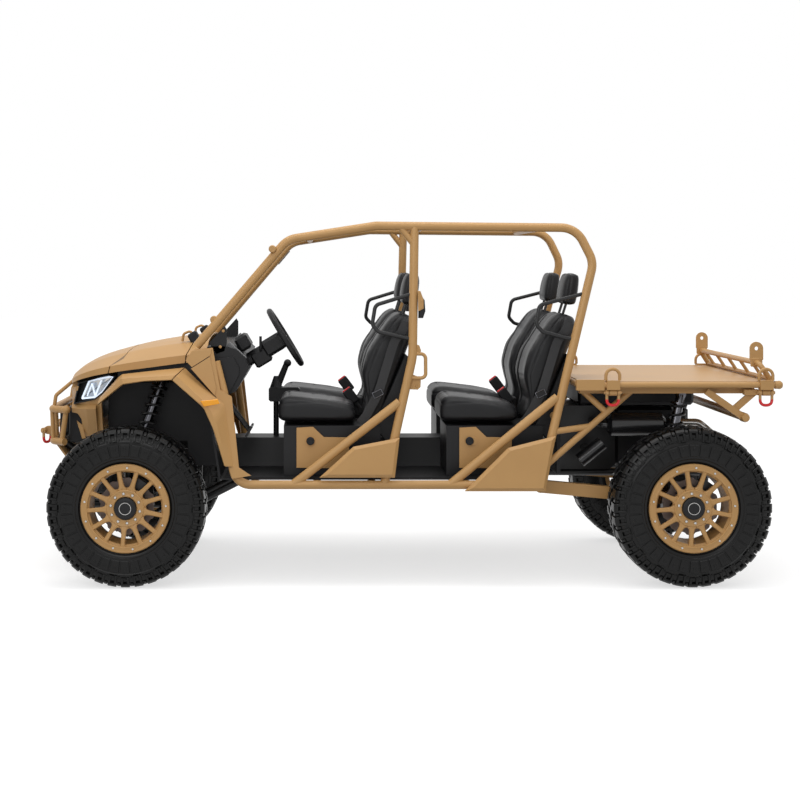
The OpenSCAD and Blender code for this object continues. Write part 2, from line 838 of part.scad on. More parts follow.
module front_bumper() {
    face = front_x + bumper_x;
    fascia = fascia_sections[0];
    knee = [fascia[0] - guard_knee_back, guard_top_z];
    color(tan_paint) difference() {
        union() {
            bumper_tube(bumper_upper_z);
            bumper_tube(bumper_lower_z);
            for (y = bumper_upright_places)
                rod([face, y, bumper_lower_z], [face, y, bumper_upper_z], bumper_tube_d / 2 - weld_lap);
            both_sides() {
                bent_tube([at_front([bumper_x, bumper_upper_z], guard_half_w), at_front(knee, guard_half_w),
                    at_front([fascia[0] - seat_gap, guard_top_z], guard_half_w)], guard_d / 2, guard_d);
                hull() for (p = [[face, tow_eye_r], [tow_pin_x, tow_eye_r - weld_lap]])
                    translate([p[0], -tow_eye_half_w, tow_pin_z]) rotate([90, 0, 0])
                        cylinder(h = tow_eye_t, r = p[1], center = true);
                rod([face, -tow_eye_half_w, bumper_lower_z], [face, -tow_eye_half_w, bumper_upper_z], tow_eye_r - weld_lap);
            }
            for (i = [0, 1]) hull() for (j = [i, i + 1])
                rod(at_front(skid_points[j], skid_half_w), at_front(skid_points[j], -skid_half_w), skid_t / 2);
        }
        both_sides() rod([tow_pin_x, -tow_eye_half_w - tow_eye_t, tow_pin_z], [tow_pin_x, tow_eye_t - tow_eye_half_w, tow_pin_z],
            shackle_pin_r + seat_gap);
        both_sides() rod(at_front(stay_end(), front_upper_half_w), at_front(stay_knee, front_upper_half_w),
            front_rail_d / 2 + seat_gap);
    }
}

// Nose panels

function hood_ring(s) =
    let (x = front_x + hood_front + s[0] * (dash_front_x - seat_gap - hood_front),
        half = [[s[5], s[3] - hood_lip], [s[5], s[3]], [s[4], s[2]],
            [s[4] * hood_mid_share, lerp(s[2], s[1], hood_mid_rise_share)]],
        last = len(half) - 1,
        outer = concat(half, [[0, s[1]]], [for (i = [last : -1 : 0]) [-half[i].x, half[i].y]]),
        inner = [for (p = outer) [p.x - sign(p.x) * panel_t, max(p.y - panel_t, s[3] - hood_lip)]])
        [for (p = concat(outer, [for (i = [len(inner) - 1 : -1 : 0]) inner[i]])) [x, p.x, p.y]];

module hood() {
    color(tan_paint) loft([for (s = hood_sections) hood_ring(s)]);
}

function fascia_ring(s, wall) =
    let (x = front_x + s[0], low = s[1] + wall, high = s[2] - hood_edge_gap - panel_t - wall)
        [[x, s[3] - wall, low], [x, s[4] - wall, high], [x, wall - s[4], high], [x, wall - s[3], low]];

module front_fascia() {
    slot_pitch = (grille_high_z - grille_low_z) / grille_slots;
    color(tan_paint) difference() {
        loft([for (s = fascia_sections) fascia_ring(s, 0)]);
        translate([fascia_wall, 0, 0]) loft([for (s = fascia_sections) fascia_ring(s, fascia_wall)]);
        both_sides() lamp_shape(seat_gap, lamp_reach);
        for (i = [0 : grille_slots - 1])
            translate([front_x + fascia_sections[0][0] - cut_lap, -grille_half_w, grille_low_z + i * slot_pitch])
                cube([fascia_wall + 2 * cut_lap, 2 * grille_half_w, slot_pitch - grille_bar_t]);
    }
}

// Lamp body that wraps the corner of the nose
module lamp_shape(grow, reach) {
    nose_x = lamp_outline[0].x;
    multmatrix([[1, 0, 0, front_x], [-lamp_sweep, 1, 0, lamp_sweep * nose_x - lamp_nose_half_w + lamp_depth],
            [0, 0, 1, 0], [0, 0, 0, 1]])
        rotate([90, 0, 0]) linear_extrude(lamp_depth + reach) offset(delta = grow) polygon(lamp_outline);
}

module lamps() {
    color(lens_white) both_sides() lamp_shape(0, 0);
    color(amber) both_sides()
        translate([front_x + signal_at.x, -fender_sections[4][4] - signal_t - seat_gap, signal_at.y])
            cube([signal_l, signal_t, signal_h]);
}

function fender_ring(s) =
    let (lip = [front_x + s[2], -s[4], s[3]],
        edge = [front_x + s[0], s[5] > 0 ? -s[5] : -cowl_y(s[1] - panel_t), s[1]],
        inner = unit([lip.x - edge.x, 0, lip.z - edge.z]) * panel_t)
        [edge, [edge.x, -s[4], edge.z], lip, lip + [0, fender_lip, 0], lip + [0, fender_lip, 0] - inner,
            [lip.x, lip.y + panel_t, lip.z] - inner, [edge.x, -s[4] + panel_t, edge.z] + inner, edge + inner];

module fenders() {
    color(tan_paint) both_sides() loft([for (s = fender_sections) fender_ring(s)]);
}

module cowl_sides() {
    color(tan_paint) both_sides() in_side_plane() translate([0, -tube_r - seat_gap, 0]) rotate([90, 0, 0])
        linear_extrude(cowl_t)
            polygon([for (p = cowl_outline) [on_side(p).x, on_side(p).z]]);
}

// Dash and steering

function steering_axis() = [cos(column_angle), 0, sin(column_angle)];
function steering_centre() = [front_x + steering_hub.x, -seat_half_gap, steering_hub.y];

module along_column() {
    translate(steering_centre()) rotate([0, 90 - column_angle, 0]) children();
}

module dash() {
    foot = [[dash_front_x, dash_lip_z], [dash_front_x, firewall_top.y],
        [firewall_x(dash_foot_z) + firewall_t + seat_gap, dash_foot_z]];
    color(black_plastic) {
        translate([front_x, dash_half_w, 0]) rotate([90, 0, 0]) linear_extrude(2 * dash_half_w)
            polygon(concat(dash_outline, [for (i = [2 : -1 : 0]) foot[i]]));
        along_column() translate([0, 0, -steering_boss_l - seat_gap - column_l])
            cylinder(h = column_l, r = column_r);
    }
}

module steering_wheel() {
    rim_r = steering_wheel_d / 2 - steering_rim_d / 2;
    color(black_plastic) along_column() {
        rotate_extrude() translate([rim_r, 0]) circle(steering_rim_d / 2);
        translate([0, 0, -steering_boss_l]) cylinder(h = steering_boss_l, r = steering_boss_r);
        for (a = [0, 120, 240])
            rod([0, 0, -steering_spoke_dish], [rim_r * sin(a), rim_r * cos(a), 0], steering_spoke_d / 2);
    }
}

// Two pedals on a cross bar that hangs under the lower edge of the dash
module pedals() {
    pivot = dash_outline[5] - [0, pedal_bar_d / 2 + seat_gap];
    color(black_paint) {
        rod(at_front(pivot, seat_half_gap + pedal_bar_half_l), at_front(pivot, seat_half_gap - pedal_bar_half_l),
            pedal_bar_d / 2);
        for (y = pedal_places) {
            rod(at_front(pivot, seat_half_gap + y), at_front(pedal_end, seat_half_gap + y), pedal_arm_d / 2);
            translate(at_front(pedal_end, seat_half_gap + y)) rotate([0, column_angle, 0]) cube(pedal_pad, center = true);
        }
    }
}

// Gear lever in its boot, on a box that a post carries above the tunnel
module shifter() {
    foot_z = floor_z + floor_t - floor_rib_h + tunnel_h + 2 * seat_gap;
    box_top = [shifter_x, shifter_box_z + shifter_box.z];
    color(black_plastic) {
        rod(at_front([shifter_x, foot_z], 0), at_front([shifter_x, shifter_box_z + weld_lap], 0), shifter_post_d / 2);
        translate([front_x + shifter_x - shifter_box_front, 0, shifter_box_z])
            bevelled_block(shifter_box.x, shifter_box.y, shifter_box.z, shifter_post_d / 3);
        rod(at_front(box_top - [0, shifter_boot_r], 0), at_front(shifter_end, 0), shifter_lever_d / 2);
        translate(at_front(box_top - [0, weld_lap], 0)) cylinder(h = shifter_boot_h, r1 = shifter_boot_r, r2 = shifter_lever_d / 2);
        translate(at_front(shifter_end, 0)) sphere(shifter_knob_r);
    }
}

// Cab fittings

module side_box(outline) {
    points = [for (p = outline) [on_side(p).x, on_side(p).z]];
    hull() {
        linear_extrude(box_t - box_chamfer) polygon(points);
        linear_extrude(box_t) offset(delta = -box_chamfer) polygon(points);
    }
}

module side_boxes() {
    color(tan_paint) both_sides() in_side_plane() translate([0, -tube_r - seat_gap, 0]) rotate([90, 0, 0]) {
        side_box(front_box_outline);
        side_box(rear_box_outline);
    }
}

// Draws a seat piece in both rows, on both sides
module each_seat() {
    both_sides() for (row = [0, 1]) translate([row * row_pitch, 0, 0]) children();
}

module seat_boxes() {
    z = floor_z + floor_t + seat_gap;
    inner = tunnel_half_w + seat_box_inner_gap;
    color(black_plastic) each_seat() translate([front_x + seat_front_x + seat_box_front, -seat_box_outer, z])
        cube([seat_box_rear - seat_box_front, seat_box_outer - inner, cushion_z - seat_gap - z]);
}

module seat_side_plates() {
    color(tan_paint) each_seat()
        translate([front_x + seat_front_x, -seat_box_outer - seat_gap, cushion_z]) rotate([90, 0, 0]) {
            linear_extrude(plate_t) polygon(plate_outline);
            translate([knob_at.x, knob_at.y, plate_t - weld_lap]) cylinder(h = knob_h + weld_lap, r = knob_r);
        }
}

module seat_cushions() {
    half_w = seat_w / 2;
    color(upholstery) each_seat() translate([front_x + seat_front_x, -seat_half_gap, cushion_z])
        loft([for (s = cushion_shares)
            let (ring = rounded([-half_w * s[1], cushion_h * s[2]], [half_w * s[1], cushion_h * s[3]],
                    cushion_h * (s[3] - s[2]) * corner_share, corner_steps))
                [for (p = ring) [s[0] * cushion_l, p.x, p.y]]]);
}

// A padded piece that stands up: sections go up its height, front edge to rear edge
module upright_pad(shares, w, t, h) {
    loft([for (s = shares)
        let (ring = rounded([t * s[2], -w / 2 * s[1]], [t * s[3], w / 2 * s[1]], t * (s[3] - s[2]) * corner_share,
                corner_steps))
            [for (p = ring) [p.x, p.y, s[0] * h]]]);
}

module at_back() {
    foot_z = cushion_z + back_t * back_shares[0][3] * sin(back_lean);
    translate([front_x + back_foot_x, -seat_half_gap, foot_z]) rotate([0, back_lean, 0]) children();
}

module seat_backs() {
    color(upholstery) each_seat() at_back() upright_pad(back_shares, seat_w, back_t, back_l);
}

module headrests() {
    color(upholstery) each_seat() at_back() translate([back_t * headrest_depth_share, 0, back_l]) {
        translate([0, 0, headrest_gap]) rotate([0, -headrest_turn, 0]) translate([-headrest_t / 2, 0, 0])
            upright_pad(headrest_shares, headrest_w, headrest_t, headrest_h);
        for (s = [-1, 1]) translate([0, s * headrest_post_half_gap, seat_gap])
            cylinder(h = headrest_gap + headrest_post_r, r = headrest_post_r);
    }
}

module seat_side_bars() {
    front = concat([[b_top.x, bar_high_z]], bar_points, [[b_top.x, bar_low_z]]);
    rear = concat([[leg_x(bar_high_z), bar_high_z]], [for (p = bar_points) p + [bar_row_pitch, 0]],
        [[leg_x(bar_low_z), bar_low_z]]);
    color(black_paint) both_sides() {
        difference() {
            in_side_plane() bent_tube([for (p = front) on_side(p)], bar_d / 2, bar_bend_r);
            in_side_plane() rod(on_side(b_top), on_side(b_knee), tube_r + seat_gap);
        }
        difference() {
            in_side_plane() bent_tube([for (p = rear) on_side(p)], bar_d / 2, bar_bend_r);
            left_rear_leg_line(seat_gap);
        }
    }
}

module belt_buckles() {
    z = floor_z + floor_t - floor_rib_h + tunnel_h + 2 * seat_gap;
    color(signal_red) each_seat() translate([front_x + seat_front_x + buckle_x, -buckle_half_gap, z]) {
        translate([-buckle_size.y / 2, -buckle_size.x / 2, buckle_stalk_l])
            cube([buckle_size.y, buckle_size.x, buckle_size.z]);
        cylinder(h = buckle_stalk_l + weld_lap, r = buckle_stalk_d / 2);
    }
}

// Cargo deck

deck_front_x = front_x + leg_x(deck_z) + deck_front_gap;
deck_tail_x = rear_end_x - rack_foot_back;
function ring_places() = [deck_front_x + ring_front_back, rear_end_x - ring_rear_back];

// Tubes round the deck, without their end blocks
module deck_tubes(grow) {
    r = deck_rail_d / 2 + grow;
    rear = rear_end_x - deck_rear_cap;
    both_sides() rod([deck_front_x + deck_block_l - weld_lap, -deck_half_w, deck_z], [rear, -deck_half_w, deck_z], r);
    for (x = [deck_front_x + deck_rail_d / 2, deck_tail_x])
        rod([x, weld_lap - deck_half_w, deck_z], [x, deck_half_w - weld_lap, deck_z], r - bend_swell);
}

module deck_rails() {
    r = deck_rail_d / 2;
    color(tan_paint) {
        deck_tubes(0);
        both_sides() {
            translate([rear_end_x - deck_rear_cap, -deck_half_w, deck_z]) rotate([0, 90, 0])
                cylinder(h = deck_rear_cap, r = r + bow_wire_r / 2);
            translate([deck_front_x, -deck_half_w - r, deck_z - deck_block_h / 2])
                cube([deck_block_l, 2 * r, deck_block_h]);
        }
    }
}

module cargo_deck() {
    r = deck_rail_d / 2;
    front = deck_front_x + deck_rail_d + seat_gap;
    rear = deck_tail_x - r - seat_gap;
    half_w = deck_half_w - ring_block_w / 2 - seat_gap;
    rib_pitch = (rear - front) / deck_rib_count;
    color(tan_paint) {
        translate([front, -half_w, deck_z + r - deck_t]) cube([rear - front, 2 * half_w, deck_t]);
        for (i = [0 : deck_rib_count - 1])
            translate([front + (i + 0.5) * rib_pitch - deck_rib_w / 2, -half_w, deck_z + r - deck_t - deck_rib_h])
                cube([deck_rib_w, 2 * half_w, deck_rib_h + weld_lap]);
    }
}

module deck_frame() {
    top = deck_z + deck_rail_d / 2 - deck_t - deck_rib_h - seat_gap;
    beam_z = top - deck_bar_h / 2;
    front = deck_front_x + deck_bar_front;
    rear = rear_end_x - deck_bar_rear;
    foot = at_front([leg_x(long_strut_foot_z), long_strut_foot_z], side_y(long_strut_foot_z));
    head = at_front([long_strut_head_x, beam_z], strut_half_w);
    link = at_front([leg_x(link_strut_foot_z), link_strut_foot_z], side_y(link_strut_foot_z));
    bar = [rear_end_x + rear_bar_at.x, -strut_half_w, rear_bar_at.y];
    color(tan_paint) difference() {
        union() {
            both_sides() {
                translate([front, -strut_half_w - strut_d, top - deck_bar_h]) cube([rear - front, 2 * strut_d, deck_bar_h]);
                rod(head, foot, strut_d / 2);
                rod(at_front([short_strut_head_x, beam_z], strut_half_w), lerp(foot, head, short_strut_share),
                    strut_d / 2 - weld_lap);
                rod(link, lerp(foot, head, link_strut_share), strut_d / 2 - weld_lap);
                rod([bar.x - rear_strut_reach, -strut_half_w, beam_z], bar, strut_d / 2 - weld_lap);
            }
            for (x = deck_cross_places)
                rod([rear_x + x, -strut_half_w, deck_cross_z], [rear_x + x, strut_half_w, deck_cross_z], strut_d / 2 - weld_lap);
            rod([bar.x, -strut_half_w - strut_d, bar.z], [bar.x, strut_half_w + strut_d, bar.z], rear_bar_d / 2);
        }
        both_sides() left_rear_leg_line(seat_gap);
    }
}

module rear_rack() {
    r = rack_tube_d / 2;
    foot_z = deck_z + deck_rail_d / 2 + r - weld_lap + seat_gap;
    head_x = deck_tail_x - rack_lean;
    rung_pitch = 2 * rack_half_w / (rack_rung_count + 1);
    color(tan_paint) {
        bent_tube([[deck_tail_x, -rack_half_w, foot_z], [head_x, -rack_half_w, rack_z], [head_x, rack_half_w, rack_z],
            [deck_tail_x, rack_half_w, foot_z]], r, rack_bend_r);
        rod([deck_tail_x, -rack_half_w - r - weld_lap, foot_z], [deck_tail_x, rack_half_w + r + weld_lap, foot_z],
            r - weld_lap);
        for (i = [1 : rack_rung_count])
            rod([deck_tail_x, i * rung_pitch - rack_half_w, foot_z], [head_x, i * rung_pitch - rack_half_w, rack_z],
                rack_rung_d / 2);
    }
}

module rack_lugs() {
    x = deck_tail_x - rack_lean - lug_plate_back;
    z = rack_z + rack_tube_d / 2 + seat_gap;
    r = lug_plate_w / 2;
    color(tan_paint) both_sides() translate([x, -rack_half_w + rack_bend_r + lug_plate_t, z]) rotate([90, 0, 0]) difference() {
        linear_extrude(lug_plate_t) union() {
            translate([-r, 0]) square([lug_plate_w, lug_plate_h - r]);
            translate([0, lug_plate_h - r]) circle(r);
        }
        translate([0, lug_plate_h - r, -cut_lap]) cylinder(h = lug_plate_t + 2 * cut_lap, r = lug_hole_r);
    }
}

module tie_down_rings() {
    lug_t = 2 * bow_inner_r - 2 * weld_lap;
    color(tan_paint) both_sides() for (x = ring_places()) {
        difference() {
            translate([x, -deck_half_w, deck_z]) {
                translate([-ring_block_l / 2, -ring_block_w / 2, -ring_block_h / 2])
                    cube([ring_block_l, ring_block_w, ring_block_h]);
                translate([-lug_t / 2, 0, -shackle_drop]) rotate([0, 90, 0]) cylinder(h = lug_t, r = ring_lug_r + weld_lap);
            }
            deck_tubes(seat_gap);
            rod([x - ring_block_l, -deck_half_w, deck_z - shackle_drop], [x + ring_block_l, -deck_half_w, deck_z - shackle_drop],
                shackle_pin_r + seat_gap);
        }
        translate([x, -deck_half_w, deck_z + ring_block_h / 2 + ring_leg - weld_lap]) left_bow(ring_inner_r, ring_wire_r, ring_leg);
    }
}

// Drive line

// Block with its long edges along Y bevelled, centred on Y
module bevelled_block(l, w, h, c) {
    translate([0, w / 2, 0]) rotate([90, 0, 0]) linear_extrude(w)
        polygon([[c, 0], [l - c, 0], [l, c], [l, h - c], [l - c, h], [c, h], [0, h - c], [0, c]]);
}

module engine() {
    color(black_paint) translate([front_x + engine_front_x, 0, sill_z + front_rail_d / 2 + seat_gap])
        bevelled_block(engine_box.x, engine_box.y, engine_box.z, engine_chamfer);
}

module rear_rails() {
    last = cross_member_places[len(cross_member_places) - 1];
    start = front_x + last + cross_member_d / 2 + seat_gap;
    color(black_paint) both_sides()
        rod([start, -rear_rail_half_w, sill_z], [rear_x + rear_rail_tail, -rear_rail_half_w, sill_z], front_rail_d / 2);
}

function gearbox_w(rail_half_w) = 2 * (rail_half_w - front_rail_d / 2 - seat_gap);

module gearboxes() {
    top = sill_z + front_rail_d / 4;
    color(black_paint) {
        translate([rear_x - gearbox_l / 2, 0, top - gearbox_h])
            bevelled_block(gearbox_l, gearbox_w(rear_rail_half_w), gearbox_h, gearbox_chamfer);
        translate([front_x - front_gearbox_l / 2, 0, axle_z - front_gearbox_h / 2])
            bevelled_block(front_gearbox_l, gearbox_w(front_rail_half_w), front_gearbox_h, gearbox_chamfer);
    }
}

module exhaust() {
    r = muffler_d / 2;
    z = muffler_at.y;
    muffler_x = rear_x + muffler_at.x;
    side = engine_box.y / 2 + seat_gap;
    inlet_x = front_x + engine_front_x + inlet_back;
    canister = [front_x + canister_at.x, -muffler_half_w, canister_at.y];
    middle = canister + [sin(90 - canister_lean), 0, cos(90 - canister_lean)] * canister_l / 2;
    color(black_paint) {
        translate([muffler_x, -muffler_half_w, z]) rotate([0, 90, 0]) {
            cylinder(h = muffler_l, r = r);
            translate([0, 0, -muffler_dome]) cylinder(h = muffler_dome, r1 = inlet_d, r2 = r);
            translate([0, 0, muffler_l]) cylinder(h = muffler_dome, r1 = r, r2 = inlet_d);
        }
        bent_tube([[inlet_x, -side, z], [inlet_x, -muffler_half_w, z], [muffler_x, -muffler_half_w, z]], inlet_d / 2, inlet_bend_r);
        bent_tube([[muffler_x + outlet_back, -muffler_half_w, z], [muffler_x + outlet_back, -outlet_half_w, z],
            [rear_x + outlet_end.x, -outlet_half_w, z], [rear_x + outlet_end.y, -outlet_half_w, z - outlet_drop]],
            outlet_d / 2, outlet_bend_r);
        translate(canister) rotate([0, 90 - canister_lean, 0]) cylinder(h = canister_l, r = canister_d / 2);
        rod(middle, [middle.x, -side, middle.z], duct_d / 2);
    }
}

module drive_shafts() {
    hub_y = track_w / 2 - kingpin_in;
    prop_start = [front_x + front_gearbox_l / 2 + seat_gap, 0, axle_z + front_gearbox_h / 3];
    prop_end = [front_x + firewall_x(prop_shaft_end_z) - prop_shaft_d / 4, 0, prop_shaft_end_z];
    prop_line = prop_end - prop_start;
    color(steel) {
        both_sides() for (end = [[front_x, front_rail_half_w], [rear_x, rear_rail_half_w]]) {
            rod([end[0], -gearbox_w(end[1]) / 2 - seat_gap, axle_z], [end[0], -hub_y, axle_z], shaft_d / 2);
            translate([end[0], -hub_y, axle_z]) sphere(boot_r);
        }
        rod(prop_start + [prop_shaft_d / 2 * prop_line.z / norm(prop_line), 0, 0], prop_end, prop_shaft_d / 2);
    }
}

// Suspension

// A-arm from two frame eyes to a ball joint boss, with its pin pointing up or down
module a_arm(eye_y, eye_z, spread, ball_height, pin_up) {
    ball_y = track_w / 2 - kingpin_in;
    boss = [front_x, -ball_y, ball_height];
    reach = ball_h + arm_boss_h / 2;
    for (s = [-1, 1]) {
        rod([front_x + s * spread, -eye_y, eye_z], boss, arm_d / 2);
        rod([front_x + s * spread - arm_eye_l / 2, -eye_y, eye_z], [front_x + s * spread + arm_eye_l / 2, -eye_y, eye_z],
            arm_eye_d / 2);
    }
    translate(boss) cylinder(h = arm_boss_h, r = arm_boss_r, center = true);
    translate(boss - [0, 0, pin_up ? 0 : reach]) cylinder(h = reach, r = ball_pin_r);
}

module front_arms() {
    lower_y = front_rail_half_w + front_rail_d / 2 + arm_eye_d / 2 + seat_gap;
    upper_y = front_upper_half_w + front_rail_d / 2 + arm_eye_d / 2 + seat_gap;
    offset_z = ball_z + ball_h / 2 + arm_boss_h / 2 + seat_gap;
    pin = front_damper_pin(upper_y, axle_z + offset_z);
    color(black_paint) both_sides() {
        a_arm(lower_y, front_rail_z, lower_arm_spread, axle_z - offset_z, true);
        a_arm(upper_y, front_upper_rail_z, upper_arm_spread, axle_z + offset_z, false);
        rod([front_x - pin[0], -front_damper_foot_half_w, pin[1]], [front_x + pin[0], -front_damper_foot_half_w, pin[1]],
            front_damper_pin_d / 2);
    }
}

// Half length and height of the cross pin that carries the front damper on the upper arm
function front_damper_pin(upper_y, boss_z) =
    let (ball_y = track_w / 2 - kingpin_in, t = (front_damper_foot_half_w - upper_y) / (ball_y - upper_y))
        [upper_arm_spread * (1 - t), lerp(front_upper_rail_z, boss_z, t)];

// Bearing housing shared by the front knuckles and the rear hub carriers
module bearing_housing() {
    across_axle() translate([0, 0, -bearing_in]) cylinder(h = bearing_in + bearing_out, r = bearing_r);
}

module bearing_bore() {
    across_axle() translate([0, 0, -bearing_in - cut_lap])
        cylinder(h = bearing_in + bearing_out + 2 * cut_lap, r = spindle_r + shaft_fit);
}

// Caliper body with its slot for the disc
module caliper() {
    rotate([0, caliper_angle, 0]) difference() {
        translate([-caliper_size.x / 2, -disc_at - disc_t / 2 - caliper_size.y / 2, caliper_at_r - caliper_size.z / 2])
            cube(caliper_size);
        across_axle() translate([0, 0, disc_at - disc_gap]) cylinder(h = disc_t + 2 * disc_gap, r = disc_r + disc_gap);
    }
}

module caliper_bracket() {
    rotate([0, caliper_angle, 0]) translate([-ball_r, disc_gap - disc_at + weld_lap, 0])
        cube([2 * ball_r, bearing_in - weld_lap, caliper_at_r]);
}

module knuckle() {
    difference() {
        union() {
            bearing_housing();
            for (s = [-1, 1]) {
                translate([0, kingpin_in, s * ball_z]) cylinder(h = ball_h, r = ball_r, center = true);
                translate([-ball_r, 0, s * ball_z - ball_h / 2]) cube([2 * ball_r, kingpin_in, ball_h]);
                translate([-ball_r, 0, min(0, s * ball_z)]) cube([2 * ball_r, bearing_in - weld_lap, ball_z]);
            }
            translate([0, bearing_in - steer_arm_d / 2, 0])
                rod([0, 0, 0], [steer_arm_l, kingpin_in - bearing_in + steer_arm_d / 2, 0], steer_arm_d / 2);
            translate([steer_arm_l, kingpin_in, 0]) cylinder(h = steer_arm_t, r = tie_eye_r, center = true);
            caliper();
            caliper_bracket();
        }
        bearing_bore();
        for (s = [-1, 1]) translate([0, kingpin_in, s * ball_z])
            cylinder(h = ball_h + 2 * cut_lap, r = ball_pin_r + shaft_fit, center = true);
    }
}

module front_knuckle(side) {
    color(black_paint) at_wheel(front_x, side) knuckle();
}

module tie_rods() {
    ball_y = track_w / 2 - kingpin_in;
    x = front_x + steer_arm_l;
    color(steel) {
        rod([x, -ball_y, tie_rod_z], [x, ball_y, tie_rod_z], tie_rod_d / 2);
        both_sides() translate([x, -ball_y, tie_rod_z]) cylinder(h = tie_rod_d, r = tie_eye_r, center = true);
    }
}

module rear_hub_carriers() {
    reach = track_w / 2 - trailing_half_w - trailing_w / 2 - seat_gap;
    color(black_paint) both_sides() at_wheel(rear_x, 1) difference() {
        union() {
            bearing_housing();
            caliper();
            caliper_bracket();
            translate([-carrier_front, 0, -carrier_half_h]) {
                cube([carrier_front - carrier_gap, reach, 2 * carrier_half_h]);
                cube([carrier_front, bearing_in - weld_lap, 2 * carrier_half_h]);
            }
        }
        bearing_bore();
    }
}

module rear_arms() {
    v = trailing_end() - trailing_pivot();
    color(tan_paint) both_sides() {
        translate(trailing_pivot()) rotate([0, atan2(-v.z, v.x), 0]) translate([0, -trailing_w / 2, -trailing_h / 2])
            cube([norm(v), trailing_w, trailing_h]);
        translate(trailing_pivot()) rotate([90, 0, 0]) 
            cylinder(h = trailing_w + 2 * weld_lap, r = trailing_h / 2 + weld_lap, center = true);
    }
}

function trailing_pivot() =
    let (apart = cross_member_d / 2 + trailing_h / 2 + weld_lap + seat_gap)
        [front_x + cross_member_places[4] + sqrt(apart * apart - trailing_pivot_drop * trailing_pivot_drop), -trailing_half_w,
            sill_z - trailing_pivot_drop];
function trailing_end() = [rear_x - trailing_end_back, -trailing_half_w, axle_z + trailing_end_rise];

// Foot and top of the front or rear left damper
function damper_line(front) = front
    ? let (offset_z = ball_z + ball_h / 2 + arm_boss_h / 2 + seat_gap,
        upper_y = front_upper_half_w + front_rail_d / 2 + arm_eye_d / 2 + seat_gap,
        pin = front_damper_pin(upper_y, axle_z + offset_z))
        [at_front([0, pin[1] + front_damper_pin_d / 2 + damper_eye_r + seat_gap], front_damper_foot_half_w),
            at_front([tower_x, tower_z - front_rail_d / 2 - damper_eye_r - seat_gap], front_damper_half_w)]
    : let (v = trailing_end() - trailing_pivot(),
        share = (rear_x - rear_damper_foot_back - trailing_pivot().x) / v.x,
        rise = (trailing_h / 2 + damper_eye_r + seat_gap) * norm(v) / v.x)
        [lerp(trailing_pivot(), trailing_end(), share) + [0, 0, rise],
            at_rear([deck_cross_places[1], deck_cross_z - strut_d / 2 - damper_eye_r], rear_damper_half_w)];

// Draws children along +Z from a damper's foot to its top
module along_damper(line) {
    v = line[1] - line[0];
    translate(line[0]) rotate([0, acos(v.z / norm(v)), atan2(v.y, v.x)]) children();
}

module damper(line) {
    wire_h = spring_wire_r * cos(180 / spring_sides) + seat_gap;
    l = norm(line[1] - line[0]);
    along_damper(line) {
        for (z = [0, l]) translate([0, 0, z]) rotate([90, 0, 0]) cylinder(h = damper_eye_w, r = damper_eye_r, center = true);
        cylinder(h = l, r = damper_rod_r);
        translate([0, 0, l * (1 - damper_body_share)]) cylinder(h = l * damper_body_share, r = damper_body_r);
        for (z = [l * spring_low_share - damper_cup_t - wire_h, l * spring_high_share + wire_h])
            translate([0, 0, z]) cylinder(h = damper_cup_t, r = damper_cup_r);
    }
}

module dampers() {
    color(steel) both_sides() for (front = [true, false]) damper(damper_line(front));
}

module springs() {
    color(black_paint) both_sides() for (front = [true, false]) {
        line = damper_line(front);
        l = norm(line[1] - line[0]);
        low = l * spring_low_share;
        rise = l * (spring_high_share - spring_low_share);
        n = spring_turns * spring_steps;
        along_damper(line)
            wire([for (i = [0 : n]) let (a = 360 * i / spring_steps)
                [spring_r * cos(a), spring_r * sin(a), low + rise * i / n]], spring_wire_r, spring_sides, [0, 0, 1]);
    }
}

// Wheels

// A point of the tyre's section, from a share of its height above the bead and a share of its half width
function tyre_point(s) = [bead_r + (tyre_d / 2 - bead_r) * s[0], tyre_w / 2 * s[1]];

// One row of lugs round one half of the tread, from a lug's outline and the row's turn in lug pitches
module lug_row(shares, turn) {
    pitch = 360 / lug_count;
    for (i = [0 : lug_count - 1]) rotate([0, 0, (i + turn) * pitch])
        rotate_extrude(angle = pitch * lug_fill_share) polygon([for (s = shares) tyre_point(s)]);
}

module tyre() {
    tread = [tyre_d / 2 - lug_h, tyre_w / 2 * tread_half_share];
    outer = concat([for (s = tyre_shares) tyre_point(s)], [tread]);
    color(rubber) across_axle() {
        rotate_extrude() polygon(concat(outer, [for (i = [len(outer) - 1 : -1 : 0]) [outer[i].x, -outer[i].y]]));
        lug_row(shoulder_lug_shares, 0);
        lug_row(middle_lug_shares, 0.5);
        mirror([0, 0, 1]) {
            lug_row(shoulder_lug_shares, 0.5);
            lug_row(middle_lug_shares, 0);
        }
    }
}

module rim() {
    r = bead_r - seat_gap;
    bead_w = tyre_point(tyre_shares[0]).y + seat_gap;
    face_w = tyre_point(tyre_shares[1]).y + seat_gap;
    color(tan_paint) across_axle() {
        rotate_extrude() polygon([[r - rim_wall, -bead_w - rim_flange_t], [r + rim_flange, -bead_w - rim_flange_t],
            [r + rim_flange, -bead_w - weld_lap], [r, -bead_w - weld_lap], [r, face_w], [r - rim_wall, face_w]]);
        translate([0, 0, face_w]) difference() {
            cylinder(h = ring_t, r = ring_d / 2);
            translate([0, 0, -cut_lap]) cylinder(h = ring_t + 2 * cut_lap, r = ring_lip_r);
        }
        difference() {
            translate([0, 0, hub_face_at]) cylinder(h = rim_hub_t, r = rim_hub_r);
            translate([0, 0, hub_face_at - cut_lap]) cylinder(h = rim_hub_t + 2 * cut_lap, r = cap_r + seat_gap);
        }
        for (i = [0 : spoke_count - 1]) rotate([0, 0, spoke_phase + 360 * i / spoke_count])
            translate([0, 0, face_w + ring_t / 2 - spoke_t]) linear_extrude(spoke_t)
                polygon([[spoke_root_r, -spoke_root_w / 2], [ring_lip_r + weld_lap, -spoke_tip_w / 2],
                    [ring_lip_r + weld_lap, spoke_tip_w / 2], [spoke_root_r, spoke_root_w / 2]]);
    }
}

